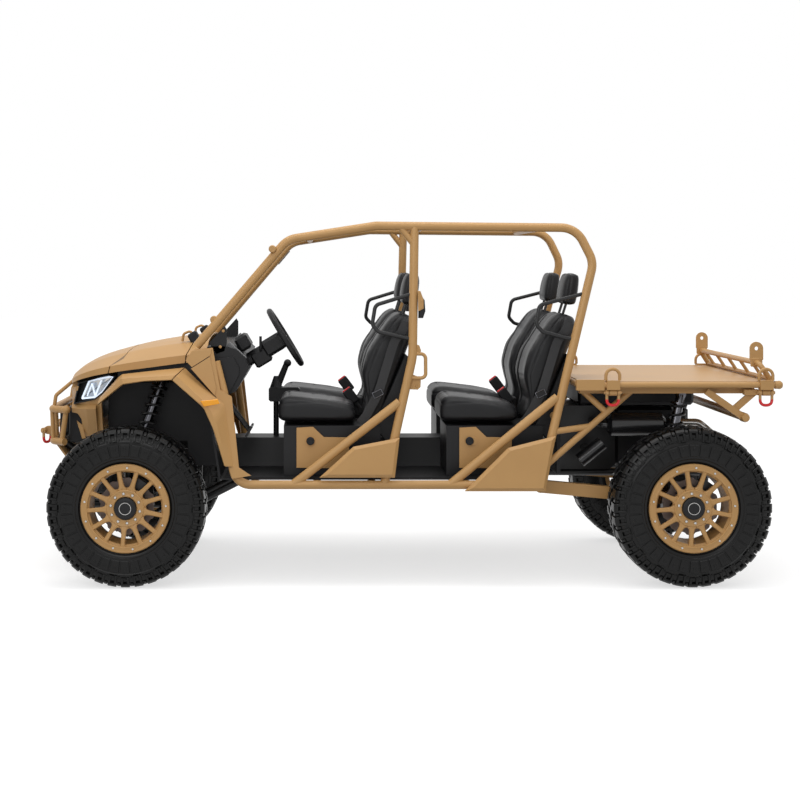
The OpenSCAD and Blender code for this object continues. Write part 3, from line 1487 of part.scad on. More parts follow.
module hub() {
    color(black_paint) across_axle() {
        difference() {
            translate([0, 0, disc_at]) cylinder(h = disc_t, r = disc_r);
            for (i = [0 : disc_holes - 1]) rotate([0, 0, 360 * i / disc_holes])
                translate([(disc_r + hub_flange_r) / 2, 0, disc_at - cut_lap]) cylinder(h = disc_t + 2 * cut_lap, r = disc_hole_r);
        }
        translate([0, 0, disc_at]) cylinder(h = hub_face_at - seat_gap - disc_at, r = hub_flange_r - weld_lap);
        translate([0, 0, hub_face_at - seat_gap - weld_lap]) cylinder(h = cap_l, r = cap_r);
        translate([0, 0, -bearing_in]) cylinder(h = bearing_in + disc_at + weld_lap, r = spindle_r);
    }
}

sills();
cross_members();
floor_pan();
firewall();
tunnel();
cage_sides();
b_pillars();
side_braces();
cage_cross_tubes();
front_frame();
front_bumper();
shackles();
hood();
front_fascia();
lamps();
fenders();
cowl_sides();
dash();
pedals();
shifter();
side_boxes();
seat_side_plates();
seat_boxes();
seat_cushions();
seat_backs();
headrests();
seat_side_bars();
belt_buckles();
cargo_deck();
deck_rails();
deck_frame();
rear_rack();
rack_lugs();
tie_down_rings();
rear_rails();
engine();
exhaust();
gearboxes();
drive_shafts();
front_arms();
rear_arms();
rear_hub_carriers();
dampers();
springs();
tie_rods();
steering_wheel();
front_knuckle(1);  // knuckle_left
front_knuckle(-1);  // knuckle_right
at_wheel(front_x, 1) tyre();  // tyre_front_left
at_wheel(front_x, -1) tyre();  // tyre_front_right
at_wheel(rear_x, 1) tyre();  // tyre_rear_left
at_wheel(rear_x, -1) tyre();  // tyre_rear_right
at_wheel(front_x, 1) rim();  // rim_front_left
at_wheel(front_x, -1) rim();  // rim_front_right
at_wheel(rear_x, 1) rim();  // rim_rear_left
at_wheel(rear_x, -1) rim();  // rim_rear_right
at_wheel(front_x, 1) hub();  // hub_front_left
at_wheel(front_x, -1) hub();  // hub_front_right
at_wheel(rear_x, 1) hub();  // hub_rear_left
at_wheel(rear_x, -1) hub();  // hub_rear_right
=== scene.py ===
# %% [markdown]
# # A four-seat off-road buggy with a flat cargo deck
# The solids of the buggy are packed already, in metres, with its front towards -X, its left side towards
# -Y and the ground at Z = 0. This lesson dresses them: it gives every solid a finish, and replaces the
# solids whose real shape needs more than a plain solid, such as lugged tyres and padded seats, by
# surfaces worked out with numpy.

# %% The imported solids
import math

import bpy
import numpy as np
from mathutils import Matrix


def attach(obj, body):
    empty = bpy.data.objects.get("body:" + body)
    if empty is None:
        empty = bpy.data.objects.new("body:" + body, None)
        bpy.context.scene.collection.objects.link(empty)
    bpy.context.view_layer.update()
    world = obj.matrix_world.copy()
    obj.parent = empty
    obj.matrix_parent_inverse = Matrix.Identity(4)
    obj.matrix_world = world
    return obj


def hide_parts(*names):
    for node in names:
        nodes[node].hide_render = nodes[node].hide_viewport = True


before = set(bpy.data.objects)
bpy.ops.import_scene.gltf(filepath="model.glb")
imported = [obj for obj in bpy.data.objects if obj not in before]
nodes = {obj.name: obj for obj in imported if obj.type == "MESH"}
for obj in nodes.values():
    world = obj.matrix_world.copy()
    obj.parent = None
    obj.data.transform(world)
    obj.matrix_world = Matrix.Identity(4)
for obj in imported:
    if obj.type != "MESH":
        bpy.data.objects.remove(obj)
scene = bpy.context.scene
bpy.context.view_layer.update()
MM = 0.001
FRONT_X, REAR_X = -1395 * MM, 1450 * MM
AXLE_Z, HALF_TRACK = 402 * MM, 673 * MM

# %% [markdown]
# The photograph is a side view from about nine metres. The lines of the buggy that run across it meet at
# one point of the picture, which gives the camera's height and place, and the size of the tyres gives its
# distance. The camera looks straight across the buggy, and its shift puts the buggy where the photograph
# has it.

# %% Camera
FRAME_PIXELS = 800
FOCAL_PIXELS = 1639
AXIS_PIXEL = (320, 265)
EYE = (-0.420, -8.983, 1.621)
lens = bpy.data.cameras.new("camera")
lens.sensor_width = 36
lens.lens = lens.sensor_width * FOCAL_PIXELS / FRAME_PIXELS
lens.shift_x = 0.5 - AXIS_PIXEL[0] / FRAME_PIXELS
lens.shift_y = AXIS_PIXEL[1] / FRAME_PIXELS - 0.5
camera = bpy.data.objects.new("camera", lens)
camera.location = EYE
camera.rotation_euler = (math.pi / 2, 0, 0)
scene.collection.objects.link(camera)
scene.camera = camera
scene.view_settings.view_transform = "Standard"
print("lens", round(lens.lens, 2), "shift", round(lens.shift_x, 3), round(lens.shift_y, 3))

# %% [markdown]
# A finish is a small tree of shader nodes. Writing the tree as sums and products keeps it readable, so
# one class wraps a socket and turns + - * < > into Math nodes, and one method makes every other kind of
# node.


# %% Shader maths
class Value:
    """One output of a finish's node tree. An operator adds the Math node that it stands for."""

    def __init__(self, finish, socket):
        self.finish, self.socket = finish, socket

    def math(self, operation, *terms):
        return self.finish.node("Math", {"operation": operation}, dict(enumerate(terms)))

    def __add__(self, other):
        return self.math("ADD", self, other)

    def __sub__(self, other):
        return self.math("SUBTRACT", self, other)

    def __mul__(self, other):
        return self.math("MULTIPLY", self, other)

    def __gt__(self, other):
        return self.math("GREATER_THAN", self, other)

    def __lt__(self, other):
        return self.math("LESS_THAN", self, other)

    def clamped(self):
        return self.math("MINIMUM", self.math("MAXIMUM", self, 0), 1)


class Finish:
    """A material under construction around one Principled shader."""

    def __init__(self, name):
        self.material = bpy.data.materials.new(name)
        self.material.use_nodes = True
        self.tree = self.material.node_tree
        self.shader = self.tree.nodes["Principled BSDF"]
        self.place = self.node("TexCoord", output="Object")

    def node(self, kind, settings=None, inputs=None, output=0):
        """Adds a node: its settings first, then the values or links of its sockets."""
        made = self.tree.nodes.new("ShaderNode" + kind)
        for key, setting in (settings or {}).items():
            setattr(made, key, setting)
        for key, value in (inputs or {}).items():
            self.join(value, made.inputs[key])
        return Value(self, made.outputs[output])

    def join(self, value, socket):
        if isinstance(value, Value):
            self.tree.links.new(value.socket, socket)
        elif np.shape(value) == (3,) and len(socket.default_value) == 4:
            socket.default_value = (*value, 1)
        else:
            socket.default_value = value

    def set(self, **values):
        """Gives the shader's sockets their values, by name with _ for a space."""
        for key, value in values.items():
            self.join(value, self.shader.inputs[key.replace("_", " ")])
        return self

    def noise(self, scale, detail=2):
        return self.node("TexNoise", None, {"Vector": self.place, "Scale": scale, "Detail": detail})

    def mix(self, factor, first, second):
        return self.node("Mix", {"data_type": "RGBA"}, {0: factor, 6: first, 7: second}, output=2)

    def bump(self, height, depth):
        return self.set(Normal=self.node("Bump", None, {"Height": height, "Distance": depth, "Strength": 1}))

    def axis(self, name):
        return self.node("SeparateXYZ", None, {"Vector": self.place}, output=name)


# %% [markdown]
# The studio is white all round. The world lights the buggy more from above than from the side, as a large
# soft box does, and shows plain white to the camera and in reflections. The floor is a pale sheet that
# keeps the soft shadow. Two soft boxes give the tubes their long highlights.

# %% Studio
HORIZON_LIGHT, ZENITH_LIGHT, FLOOR_SIZE = 0.24, 1.02, 80
world = bpy.data.worlds.new("studio")
scene.world = world
world.use_nodes = True
sky = world.node_tree.nodes
sky_links = world.node_tree.links
background = sky["Background"]
coords = sky.new("ShaderNodeTexCoord")
split = sky.new("ShaderNodeSeparateXYZ")
ramp = sky.new("ShaderNodeMapRange")
rays = sky.new("ShaderNodeLightPath")
seen = sky.new("ShaderNodeMath")
seen_too = sky.new("ShaderNodeMath")
strength = sky.new("ShaderNodeMix")
for node in (seen, seen_too):
    node.operation = "MAXIMUM"
ramp.inputs["From Min"].default_value, ramp.inputs["From Max"].default_value = -0.1, 0.9
ramp.inputs["To Min"].default_value, ramp.inputs["To Max"].default_value = HORIZON_LIGHT, ZENITH_LIGHT
strength.inputs["B"].default_value = 1
for source, target in ((coords.outputs["Generated"], split.inputs[0]),
                       (split.outputs["Z"], ramp.inputs["Value"]),
                       (rays.outputs["Is Camera Ray"], seen.inputs[0]),
                       (rays.outputs["Is Glossy Ray"], seen.inputs[1]),
                       (seen.outputs[0], seen_too.inputs[0]),
                       (rays.outputs["Is Transmission Ray"], seen_too.inputs[1]),
                       (seen_too.outputs[0], strength.inputs["Factor"]),
                       (ramp.outputs[0], strength.inputs["A"]),
                       (strength.outputs[0], background.inputs["Strength"])):
    sky_links.new(source, target)
background.inputs["Color"].default_value = (1, 1, 1, 1)


def soft_box(name, at, aim, size, watts):
    """A rectangular lamp at a place, turned so that its face looks at the aim."""
    lamp = bpy.data.lights.new(name, "AREA")
    lamp.shape, lamp.energy = "RECTANGLE", watts
    lamp.size, lamp.size_y = size
    box = bpy.data.objects.new(name, lamp)
    box.location = at
    away = box.location - type(box.location)(aim)
    box.rotation_euler = away.to_track_quat("Z", "Y").to_euler()
    scene.collection.objects.link(box)


soft_box("top_box", (0.0, -0.8, 4.6), (0, 0, 0.8), (5.0, 1.6), 80)
soft_box("front_box", (-1.6, -6.0, 3.4), (0, 0, 0.8), (4.0, 2.0), 72)

floor_finish = Finish("studio_floor")
ray = [floor_finish.node("LightPath", output=kind + " Ray")
       for kind in ("Is Camera", "Is Glossy", "Is Transmission")]
shown = (ray[0] + ray[1] + ray[2]).clamped()
floor_finish.set(Base_Color=(0.50, 0.50, 0.50), Roughness=0.95, Specular_IOR_Level=0.0,
                 Emission_Strength=0.65, Emission_Color=floor_finish.mix(shown, (0, 0, 0), (1, 1, 1)))
half = FLOOR_SIZE / 2
sheet = bpy.data.meshes.new("studio_floor")
floor_corners = [(-half, -half, 0), (half, -half, 0), (half, half, 0), (-half, half, 0)]
sheet.from_pydata(floor_corners, [], [(0, 1, 2, 3)])
sheet.materials.append(floor_finish.material)
floor = bpy.data.objects.new("studio_floor", sheet)
scene.collection.objects.link(floor)
print("studio lamps", len(bpy.data.lights))

# %% [markdown]
# The frame is powder coated, a paint that is baked on as dust: its skin is slightly wavy, like the skin
# of an orange, at about two millimetres. The body panels are moulded in the same colour with a finer matt
# grain. Black paint, moulded black plastic, vinyl, rubber and bare metal follow the same plan with their
# own grain, gloss and unevenness.


# %% Finishes
TAN, TAN_DEEP = (0.500, 0.286, 0.106), (0.452, 0.254, 0.092)
BLACK, RED = (0.012, 0.012, 0.013), (0.70, 0.010, 0.014)


def grained(name, colour, deep, rough, grain, depth, metal=0.0, spread=0.10, specular=0.5):
    """Broad noise runs between two shades and varies the roughness; fine noise gives the grain's bump."""
    f = Finish(name)
    broad = f.noise(5, 3)
    fine = f.noise(grain, 1)
    shade = ((broad - 0.5) * 1.6 + 0.5 + (fine - 0.5) * 0.35).clamped()
    f.set(Base_Color=f.mix(shade, deep, colour), Metallic=metal, Specular_IOR_Level=specular,
          Roughness=(broad - 0.5) * spread + (fine - 0.5) * spread + rough)
    return f.bump(fine, depth)


tan_coat = grained("tan_coat", TAN, TAN_DEEP, 0.42, 450, 0.000008, spread=0.05, specular=0.4)
tan_panel = grained("tan_panel", TAN, TAN_DEEP, 0.46, 900, 0.00001, specular=0.4)
black_coat = grained("black_coat", (0.014, 0.014, 0.015), (0.008, 0.008, 0.008), 0.34, 450, 0.00004,
                     specular=0.35)
black_mould = grained("black_mould", BLACK, (0.007, 0.007, 0.008), 0.46, 800, 0.00008, specular=0.25)
rubber = grained("rubber", (0.004, 0.004, 0.004), (0.002, 0.002, 0.002), 0.32, 300, 0.00006,
                 spread=0.16, specular=0.23)
bright_steel = grained("bright_steel", (0.58, 0.57, 0.55), (0.42, 0.41, 0.40), 0.26, 300, 0.0001, metal=1.0)
dark_chrome = grained("dark_chrome", (0.13, 0.13, 0.14), (0.07, 0.07, 0.08), 0.18, 300, 0.00003, metal=1.0)
dark_iron = grained("dark_iron", (0.20, 0.155, 0.135), (0.12, 0.095, 0.085), 0.50, 260, 0.0003, metal=0.7)
red_coat = grained("red_coat", RED, (0.60, 0.008, 0.010), 0.25, 900, 0.0001)
amber_lens = grained("amber_lens", (0.95, 0.40, 0.010), (0.90, 0.33, 0.008), 0.20, 400, 0.0001)
webbing = grained("webbing", (0.036, 0.036, 0.038), (0.022, 0.022, 0.023), 0.80, 900, 0.0005)
grey_mould = grained("grey_mould", (0.16, 0.16, 0.165), (0.11, 0.11, 0.115), 0.42, 700, 0.00005)

vinyl = Finish("vinyl")
pores = vinyl.node("TexVoronoi", {"feature": "DISTANCE_TO_EDGE"}, {"Vector": vinyl.place, "Scale": 420})
folds = vinyl.noise(9, 3)
vinyl.set(Base_Color=vinyl.mix(folds, (0.008, 0.008, 0.009), (0.013, 0.013, 0.014)),
          Roughness=(folds - 0.5) * 0.12 + 0.42, Specular_IOR_Level=0.24)
vinyl.bump(pores * 0.5 + vinyl.noise(120, 2) * 0.8, 0.0003)

shackle_coat = Finish("shackle_coat")
height, along = shackle_coat.axis("Z"), shackle_coat.axis("X")
dipped = (along > 0) * (height < 942 * MM) + (along < 0) * (height < 703 * MM)
shackle_coat.set(Base_Color=shackle_coat.mix(dipped, TAN, RED),
                 Roughness=shackle_coat.noise(60, 2) * 0.1 + 0.25)
shackle_coat.bump(shackle_coat.noise(600, 2), 0.0001)

exhaust_coat = Finish("exhaust_coat")
bare = (exhaust_coat.axis("X") > 1450 * MM) * 0.9
exhaust_coat.set(Base_Color=exhaust_coat.mix(bare, BLACK, (0.62, 0.61, 0.59)), Metallic=bare,
                 Roughness=exhaust_coat.noise(40, 2) * 0.1 + 0.18)
exhaust_coat.bump(exhaust_coat.noise(300, 2), 0.0001)

NODE_FINISH = {
    tan_coat: "sills cross_members cage_sides b_pillars side_braces cage_cross_tubes front_bumper cargo_deck "
              "deck_rails deck_frame rear_rack rack_lugs tie_down_rings rear_arms seat_side_plates",
    tan_panel: "hood front_fascia fenders cowl_sides side_boxes",
    black_coat: "front_frame rear_rails engine gearboxes front_arms rear_hub_carriers springs knuckle_left "
                "knuckle_right seat_side_bars pedals",
    black_mould: "floor_pan firewall tunnel dash seat_boxes steering_wheel belt_buckles shifter",
    vinyl: "seat_cushions seat_backs headrests",
    bright_steel: "lamps",
    dark_chrome: "drive_shafts dampers tie_rods",
    exhaust_coat: "exhaust",
    shackle_coat: "shackles",
}
for name in nodes:
    for finish, start in ((tan_coat, "rim_"), (rubber, "tyre_"), (dark_iron, "hub_")):
        if name.startswith(start):
            NODE_FINISH[finish] = NODE_FINISH.get(finish, "") + " " + name
for finish, members in NODE_FINISH.items():
    for name in members.split():
        nodes[name].data.materials.clear()
        nodes[name].data.materials.append(finish.material)
print("finishes", len(bpy.data.materials))

# %% [markdown]
# New pieces are grids of points. A Shape holds points and faces; a loft skins rings of points, a sweep
# carries a section along a path, and a turned piece carries a profile round an axis. The sign of the
# enclosed volume tells whether the faces look outwards.


# %% Surfaces
class Shape:
    """Points, and one array of faces for each number of corners."""

    def __init__(self, points, faces):
        self.points = np.asarray(points, float).reshape(-1, 3)
        self.faces = [np.asarray(f, int) for f in faces]

    def outward(self):
        """Turns the faces round if the volume, a sum of a . (b x c) over triangles, is negative."""
        p, volume = self.points - self.points.mean(0), 0.0
        for f in self.faces:
            for k in range(1, f.shape[1] - 1):
                volume += (p[f[:, 0]] * np.cross(p[f[:, k]], p[f[:, k + 1]])).sum()
        if volume < 0:
            self.faces = [f[:, ::-1] for f in self.faces]
        return self

    def moved(self, to=(0, 0, 0), turn=None):
        """Turned by a matrix whose columns are the new axes, then carried to a place."""
        turn = np.eye(3) if turn is None else np.asarray(turn, float)
        faces = self.faces if np.linalg.det(turn) > 0 else [f[:, ::-1] for f in self.faces]
        return Shape(self.points @ turn.T + to, faces)

    def mirrored(self):
        return self.moved(turn=np.diag([1, -1, 1]))

    def mesh(self, name):
        made = bpy.data.meshes.new(name)
        made.from_pydata(self.points, [], [row for f in self.faces for row in f.tolist()])
        return made


def joined(shapes):
    """All the shapes as one, with their face numbers moved up."""
    shapes = list(shapes)
    starts = np.cumsum([0] + [len(s.points) for s in shapes])
    return Shape(np.concatenate([s.points for s in shapes]),
                 [f + start for s, start in zip(shapes, starts) for f in s.faces])


def both(shape):
    return joined([shape, shape.mirrored()])


def grid_faces(rows, cols, close_rows=False):
    """Quads between neighbours in a grid whose points are numbered row by row and whose rows are closed."""
    r = np.arange(rows if close_rows else rows - 1)[:, None]
    c = np.arange(cols)[None, :]
    below, right = (r + 1) % rows, (c + 1) % cols
    corners = (r * cols + c, r * cols + right, below * cols + right, below * cols + c)
    return np.stack(np.broadcast_arrays(*corners), axis=-1).reshape(-1, 4)


def loft(rings, close_rows=False):
    """Skin over rings of equal count, closed round, with a flat cap on the first and the last."""
    rings = np.asarray(rings, float)
    rows, cols = rings.shape[:2]
    faces = [grid_faces(rows, cols, close_rows)]
    if not close_rows:
        faces.append(np.stack([np.arange(cols)[::-1], (rows - 1) * cols + np.arange(cols)]))
    return Shape(rings, faces).outward()


def unit(v):
    return v / np.linalg.norm(v, axis=-1, keepdims=True)


def rounded(points, radius, steps=6, closed=False):
    """Each corner becomes a quadratic curve, set back along its sides by radius * tan(half the turn)."""
    p = np.asarray(points, float)
    before, after = np.roll(p, 1, 0), np.roll(p, -1, 0)
    if not closed:
        before, p, after = p[:-2], p[1:-1], p[2:]
    inward, onward = unit(p - before), unit(after - p)
    turn = np.arccos(np.clip((inward * onward).sum(1), -1, 1))
    room = 0.49 * np.minimum(np.linalg.norm(p - before, axis=1), np.linalg.norm(after - p, axis=1))
    back = np.minimum(radius * np.tan(turn / 2), room)[:, None, None]
    s = np.linspace(0, 1, steps + 1)[None, :, None]
    p, inward, onward = p[:, None], inward[:, None], onward[:, None]
    curve = (1 - s) ** 2 * (p - inward * back) + 2 * s * (1 - s) * p + s**2 * (p + onward * back)
    curve = curve.reshape(-1, curve.shape[-1])
    if closed:
        return curve
    return np.concatenate([np.asarray(points[:1], float), curve, np.asarray(points[-1:], float)])


def smooth_line(points, count):
    """A Catmull-Rom curve through points, sampled evenly in its parameter."""
    p = np.asarray(points, float)
    p = np.concatenate([2 * p[:1] - p[1:2], p, 2 * p[-1:] - p[-2:-1]])
    t = np.linspace(0, len(p) - 3 - 1e-9, count)
    i, u = t.astype(int), (t % 1)[:, None]
    a, b, c, d = p[i], p[i + 1], p[i + 2], p[i + 3]
    return 0.5 * (2 * b + (c - a) * u + (2 * a - 5 * b + 4 * c - d) * u**2 + (3 * b - a - 3 * c + d) * u**3)


def circle(radius, sides):
    a = np.linspace(0, 2 * np.pi, sides, endpoint=False)
    return radius * np.stack([np.cos(a), np.sin(a)], 1)


def sweep(path, section, up=(0, 0, 1), closed=False):
    """Section points carried along a path: path + x * (up x tangent) + y * (tangent x side)."""
    path = np.asarray(path, float)
    if closed:
        tangent = unit(np.roll(path, -1, 0) - np.roll(path, 1, 0))
    else:
        tangent = unit(np.gradient(path, axis=0))
    side = unit(np.cross(np.broadcast_to(up, path.shape), tangent))
    over = np.cross(tangent, side)
    section = np.broadcast_to(section, (len(path), *np.shape(section)[-2:]))
    rings = path[:, None] + section[..., :1] * side[:, None] + section[..., 1:] * over[:, None]
    return loft(rings, close_rows=closed)


def tube(points, radius, bend, sides, up=(0, 0, 1)):
    path = rounded(points, bend) if bend else points
    return sweep(path, circle(radius, sides), up)


def axes(direction, up=(0, 0, 1)):
    """A turn whose third column is the direction."""
    z = unit(np.asarray(direction, float))
    x = unit(np.cross(up, z))
    return np.stack([x, np.cross(z, x), z], 1)


def turned(profile, sides, ring=False):
    """A profile of radius and height in millimetres carried round Z; a ring's profile is closed on itself."""
    p = np.asarray(profile, float) * MM
    a = np.linspace(0, 2 * np.pi, sides, endpoint=False)[None, :, None]
    spun = np.concatenate([p[:, None, :1] * np.cos(a), p[:, None, :1] * np.sin(a),
                           np.broadcast_to(p[:, None, 1:], (len(p), sides, 1))], -1)
    return loft(spun, close_rows=ring)


def inset(outline, by):
    """Every corner of a counter-clockwise outline moved inwards along its mitre."""
    p = np.asarray(outline, float)
    edge = unit(np.roll(p, -1, 0) - p)
    normal = np.stack([-edge[:, 1], edge[:, 0]], 1)
    last = np.roll(normal, 1, 0)
    return p + (normal + last) * (by / (1 + (normal * last).sum(1)))[:, None]


def plate(outline, thickness, chamfer):
    """A flat plate over an outline, from z = 0 up, with its long edges chamfered, in millimetres."""
    p = np.asarray(outline, float)
    p = p if (p[:, 0] * np.roll(p[:, 1], -1) - p[:, 1] * np.roll(p[:, 0], -1)).sum() > 0 else p[::-1]
    slim = inset(p, chamfer)
    levels = ((slim, 0), (p, chamfer), (p, thickness - chamfer), (slim, thickness))
    return loft(np.array([np.column_stack([q, np.full(len(q), z)]) for q, z in levels]) * MM)


def block(size, chamfer, at=(0, 0, 0), turn=None):
    """A box with chamfered edges, centred on a place, in millimetres."""
    a, b, c = np.asarray(size, float) / 2
    outline = [(a, -b + chamfer), (a, b - chamfer), (a - chamfer, b), (chamfer - a, b),
               (-a, b - chamfer), (-a, chamfer - b), (chamfer - a, -b), (a - chamfer, -b)]
    return plate(outline, 2 * c, chamfer).moved((0, 0, -c * MM)).moved(np.array(at) * MM, turn)


OUTBOARD = np.array([[1, 0, 0], [0, 0, -1], [0, 1, 0]])


def side_plate(outline, y, thick, chamfer=1.5):
    """A plate over an outline of X and Z that starts at y on the left side and grows outwards."""
    return plate(outline, thick, chamfer).moved((0, -y * MM, 0), OUTBOARD)


def studs(places, y, radius, height):
    """Round bolt heads that look outwards on the left side, at places given by X and Z in millimetres."""
    head = turned([(radius, 0), (radius, 0.7 * height), (0.8 * radius, height), (0.05, height)], 12)
    return joined(head.moved((x * MM, -y * MM, z * MM), OUTBOARD) for x, z in places)


def rod(points, radius, bend=0.0, up=(0, 1, 0), sides=14):
    """A tube through points, in millimetres."""
    return tube(np.array(points, float) * MM, radius * MM, bend * MM, sides, up)


def put(name, shape, finish, sharp=35, hides=(), body="chassis"):
    """Makes the object: smooth faces with creases at sharp edges, riding on a body."""
    mesh = shape.mesh(name)
    mesh.shade_smooth()
    mesh.set_sharp_from_angle(angle=math.radians(sharp))
    mesh.materials.append(finish.material)
    piece = bpy.data.objects.new(name, mesh)
    scene.collection.objects.link(piece)
    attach(piece, body)
    if hides:
        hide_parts(*hides)
    print(name, len(mesh.polygons), "faces")
    return piece


WHEELS = [(end, side, "%s_%s" % (end, side)) for end in ("front", "rear") for side in ("left", "right")]


def at_wheel(shape, end, side):
    """A left wheel's piece, made about its centre with its outside towards -Y, on one of the wheels."""
    x = FRONT_X if end == "front" else REAR_X
    if side == "left":
        return shape.moved((x, -HALF_TRACK, AXLE_Z))
    return shape.mirrored().moved((x, HALF_TRACK, AXLE_Z))


# %% [markdown]
# The tyres are mud tyres: a round carcass with tall rubber blocks. The carcass is a profile carried round
# the axle, with low ribs on its side walls. A block is a strip that follows the profile from the tread
# over the shoulder: each station of the strip has its own width, sideways offset and height, so one
# function makes straight, bent and tapered blocks, all of them at once. Modelling one block and copying
# it would give the same, at far more cost.

# %% Tyre profile
LUG_PAIRS, TYRE_R = 18, 402 * MM
WALL_RINGS = ((330, 2.6, 1), (252, 2.6, 0.8), (237, 3, 1))
CARCASS = np.array([(386, 0), (386, 30), (385.5, 58), (384, 80), (380, 94), (372, 104), (361, 111.5),
                    (347, 117), (330, 121), (312, 123.5), (292, 124.5), (272, 123.5), (254, 119.5),
                    (241, 112), (233, 104.5), (224, 101.5), (210, 100.5), (197, 99)]) * MM
fine = smooth_line(CARCASS, 240)
ARC = np.concatenate([[0], np.cumsum(np.linalg.norm(np.diff(fine, axis=0), axis=1))])
slope = unit(np.gradient(fine, axis=0))
TREAD = np.column_stack([ARC, fine, slope[:, 1:], -slope[:, :1]])


def on_tyre(angle, arc, height):
    """Points at an arc length from the tread's middle, moved out along the normal by a height."""
    r, w, nr, nw = (np.interp(np.abs(arc), TREAD[:, 0], TREAD[:, k]) for k in (1, 2, 3, 4))
    r, w = r + nr * height, np.sign(arc) * (w + nw * height)
    return np.stack(np.broadcast_arrays(r * np.cos(angle), -w, r * np.sin(angle)), -1)


def arc_at_radius(radius):
    """Arc length at which the side wall has come in to a radius given in millimetres."""
    return np.interp(-radius * MM, -fine[:, 0], ARC)


def carcass():
    """The plain skin with thin rings on each side wall, as bell curves of the distance from their radius."""
    angle = np.linspace(0, 2 * np.pi, LUG_PAIRS * 8, endpoint=False)[:, None]
    half = np.concatenate([np.linspace(0, arc_at_radius(345), 12),
                           np.linspace(arc_at_radius(343), ARC[-1], 44)])
    arc = np.concatenate([-half[:0:-1], half])[None, :]
    r = np.interp(np.abs(arc), ARC, fine[:, 0]) / MM
    rings = sum(share * np.exp(-(((r - radius) / width) ** 2)) for radius, width, share in WALL_RINGS)
    points = on_tyre(angle, arc + 0 * angle, 3 * rings * MM)
    return Shape(points, [grid_faces(len(angle), arc.size, True)]).outward()


def blocks(turns, stations, offsets, widths, heights, side, chamfer=2.2):
    """Strips of rubber on the tyre, one for each turn, all sizes in millimetres."""
    stations, offsets, widths, heights = np.broadcast_arrays(stations, offsets, widths, heights)
    half = widths / 2
    c = np.minimum(chamfer, half * 0.6)
    across = np.stack([-half - 0.8, -half, c - half, half - c, half, half + 0.8], 1)
    rise = np.stack([0 * half - 3, heights - c, heights, heights, heights - c, 0 * half - 3], 1)
    angle = np.asarray(turns)[:, None, None] + (offsets[:, None] + across)[None] * MM / TYRE_R
    arc = np.broadcast_to((stations * MM * side)[None, :, None], angle.shape)
    points = on_tyre(angle, arc, np.broadcast_to(rise[None] * MM, angle.shape))
    count, rows = len(turns), len(stations)
    one = np.concatenate([grid_faces(rows, 6), [[0, 1, 4, 5], [1, 2, 3, 4]],
                          np.array([[5, 4, 1, 0], [4, 3, 2, 1]]) + (rows - 1) * 6])
    faces = (np.arange(count)[:, None, None] * rows * 6 + one).reshape(-1, 4)
    return Shape(points, [faces]).outward()


def bosses(turns, arc_mm, radius, side):
    """Small round studs on the side wall, as turned rings of few sides laid on the tyre's surface."""
    a = np.linspace(0, 2 * np.pi, 8, endpoint=False)
    rings = [(radius, -2), (radius, 2.6), (radius * 0.72, 3.2), (radius * 0.45, 1.2)]
    arc = np.stack([arc_mm + r * np.cos(a) for r, _ in rings])[None] * MM * side
    angle = np.asarray(turns)[:, None, None] + np.stack([r * np.sin(a) for r, _ in rings])[None] * MM / TYRE_R
    height = np.broadcast_to(np.array([h for _, h in rings])[None, :, None] * MM, angle.shape)
    points = on_tyre(angle, np.broadcast_to(arc, angle.shape), height)
    one = grid_faces(4, 8)
    cap = np.stack([np.arange(8)[::-1], 24 + np.arange(8)])
    jump = np.arange(len(turns))[:, None, None] * 32
    return Shape(points, [(jump + one).reshape(-1, 4), (jump + cap).reshape(-1, 8)]).outward()


# %% Tyres
pitch = np.pi / LUG_PAIRS
turns = np.arange(2 * LUG_PAIRS) * pitch
low = {radius: arc_at_radius(radius) / MM for radius in (372, 362, 352, 344, 337, 322, 300, 280, 262)}
parts = [carcass()]
for side in (-1, 1):
    row = turns + (0 if side > 0 else pitch / 2)
    for first, foot in ((0, 337), (1, 344)):
        lugs = row[first::2]
        parts.append(blocks(lugs, [44, 47, 66, 90, 101, low[372]], [-9, -8, -4, 0, 0, 0],
                            [36, 41, 44, 47, 48, 47], [12, 16, 16.5, 16.5, 14, 10], side))
        leg_stations = [low[372] - 4, low[362], low[352], low[foot] - 3, low[foot]]
        for leg in (-17, 17):
            leg_turns = lugs + leg * MM / TYRE_R
            parts.append(blocks(leg_turns, leg_stations, 0, 13, [10, 9.5, 8.5, 7, 4], side, 1.5))
        foot_stations = [low[foot] - 10, low[foot] - 8, low[foot] - 1, low[foot]]
        parts.append(blocks(lugs - 8 * MM / TYRE_R, foot_stations, 0, 30, [4, 6.5, 6.5, 4], side, 1.5))
    parts.append(bosses(row + pitch / 2, low[344], 6.5, side))
    parts.append(blocks(row + pitch / 2, [66, 69, 88, 100, low[372] - 2], 0, [13, 15, 16, 16, 15],
                        [8, 11, 11, 8, 4], side, 1.5))
    parts.append(blocks(row + pitch / 4, [5, 8, 22, 37, 40], [16, 14, 2, -12, -14], [28, 33, 36, 32, 28],
                        [13, 15.5, 16, 15.5, 13], side))
    parts.append(blocks(row, [low[322], low[322] + 3, low[300], low[280], low[262] - 3, low[262]], 0,
                        [58, 61, 61, 61, 61, 58], [2, 4, 4.5, 4.5, 4, 2], side, 1.5))
    parts.append(blocks(row, [low[300] - 7, low[300] - 5, low[300] + 5, low[300] + 7], 0, [14, 16, 16, 14],
                        [5, 6.5, 6.5, 5], side, 1.5))
tyre = joined(parts)
for end, side, corner in WHEELS:
    put("mud_tyre_" + corner, at_wheel(tyre, end, side), rubber, 28, ["tyre_" + corner],
        "wheel_" + corner)

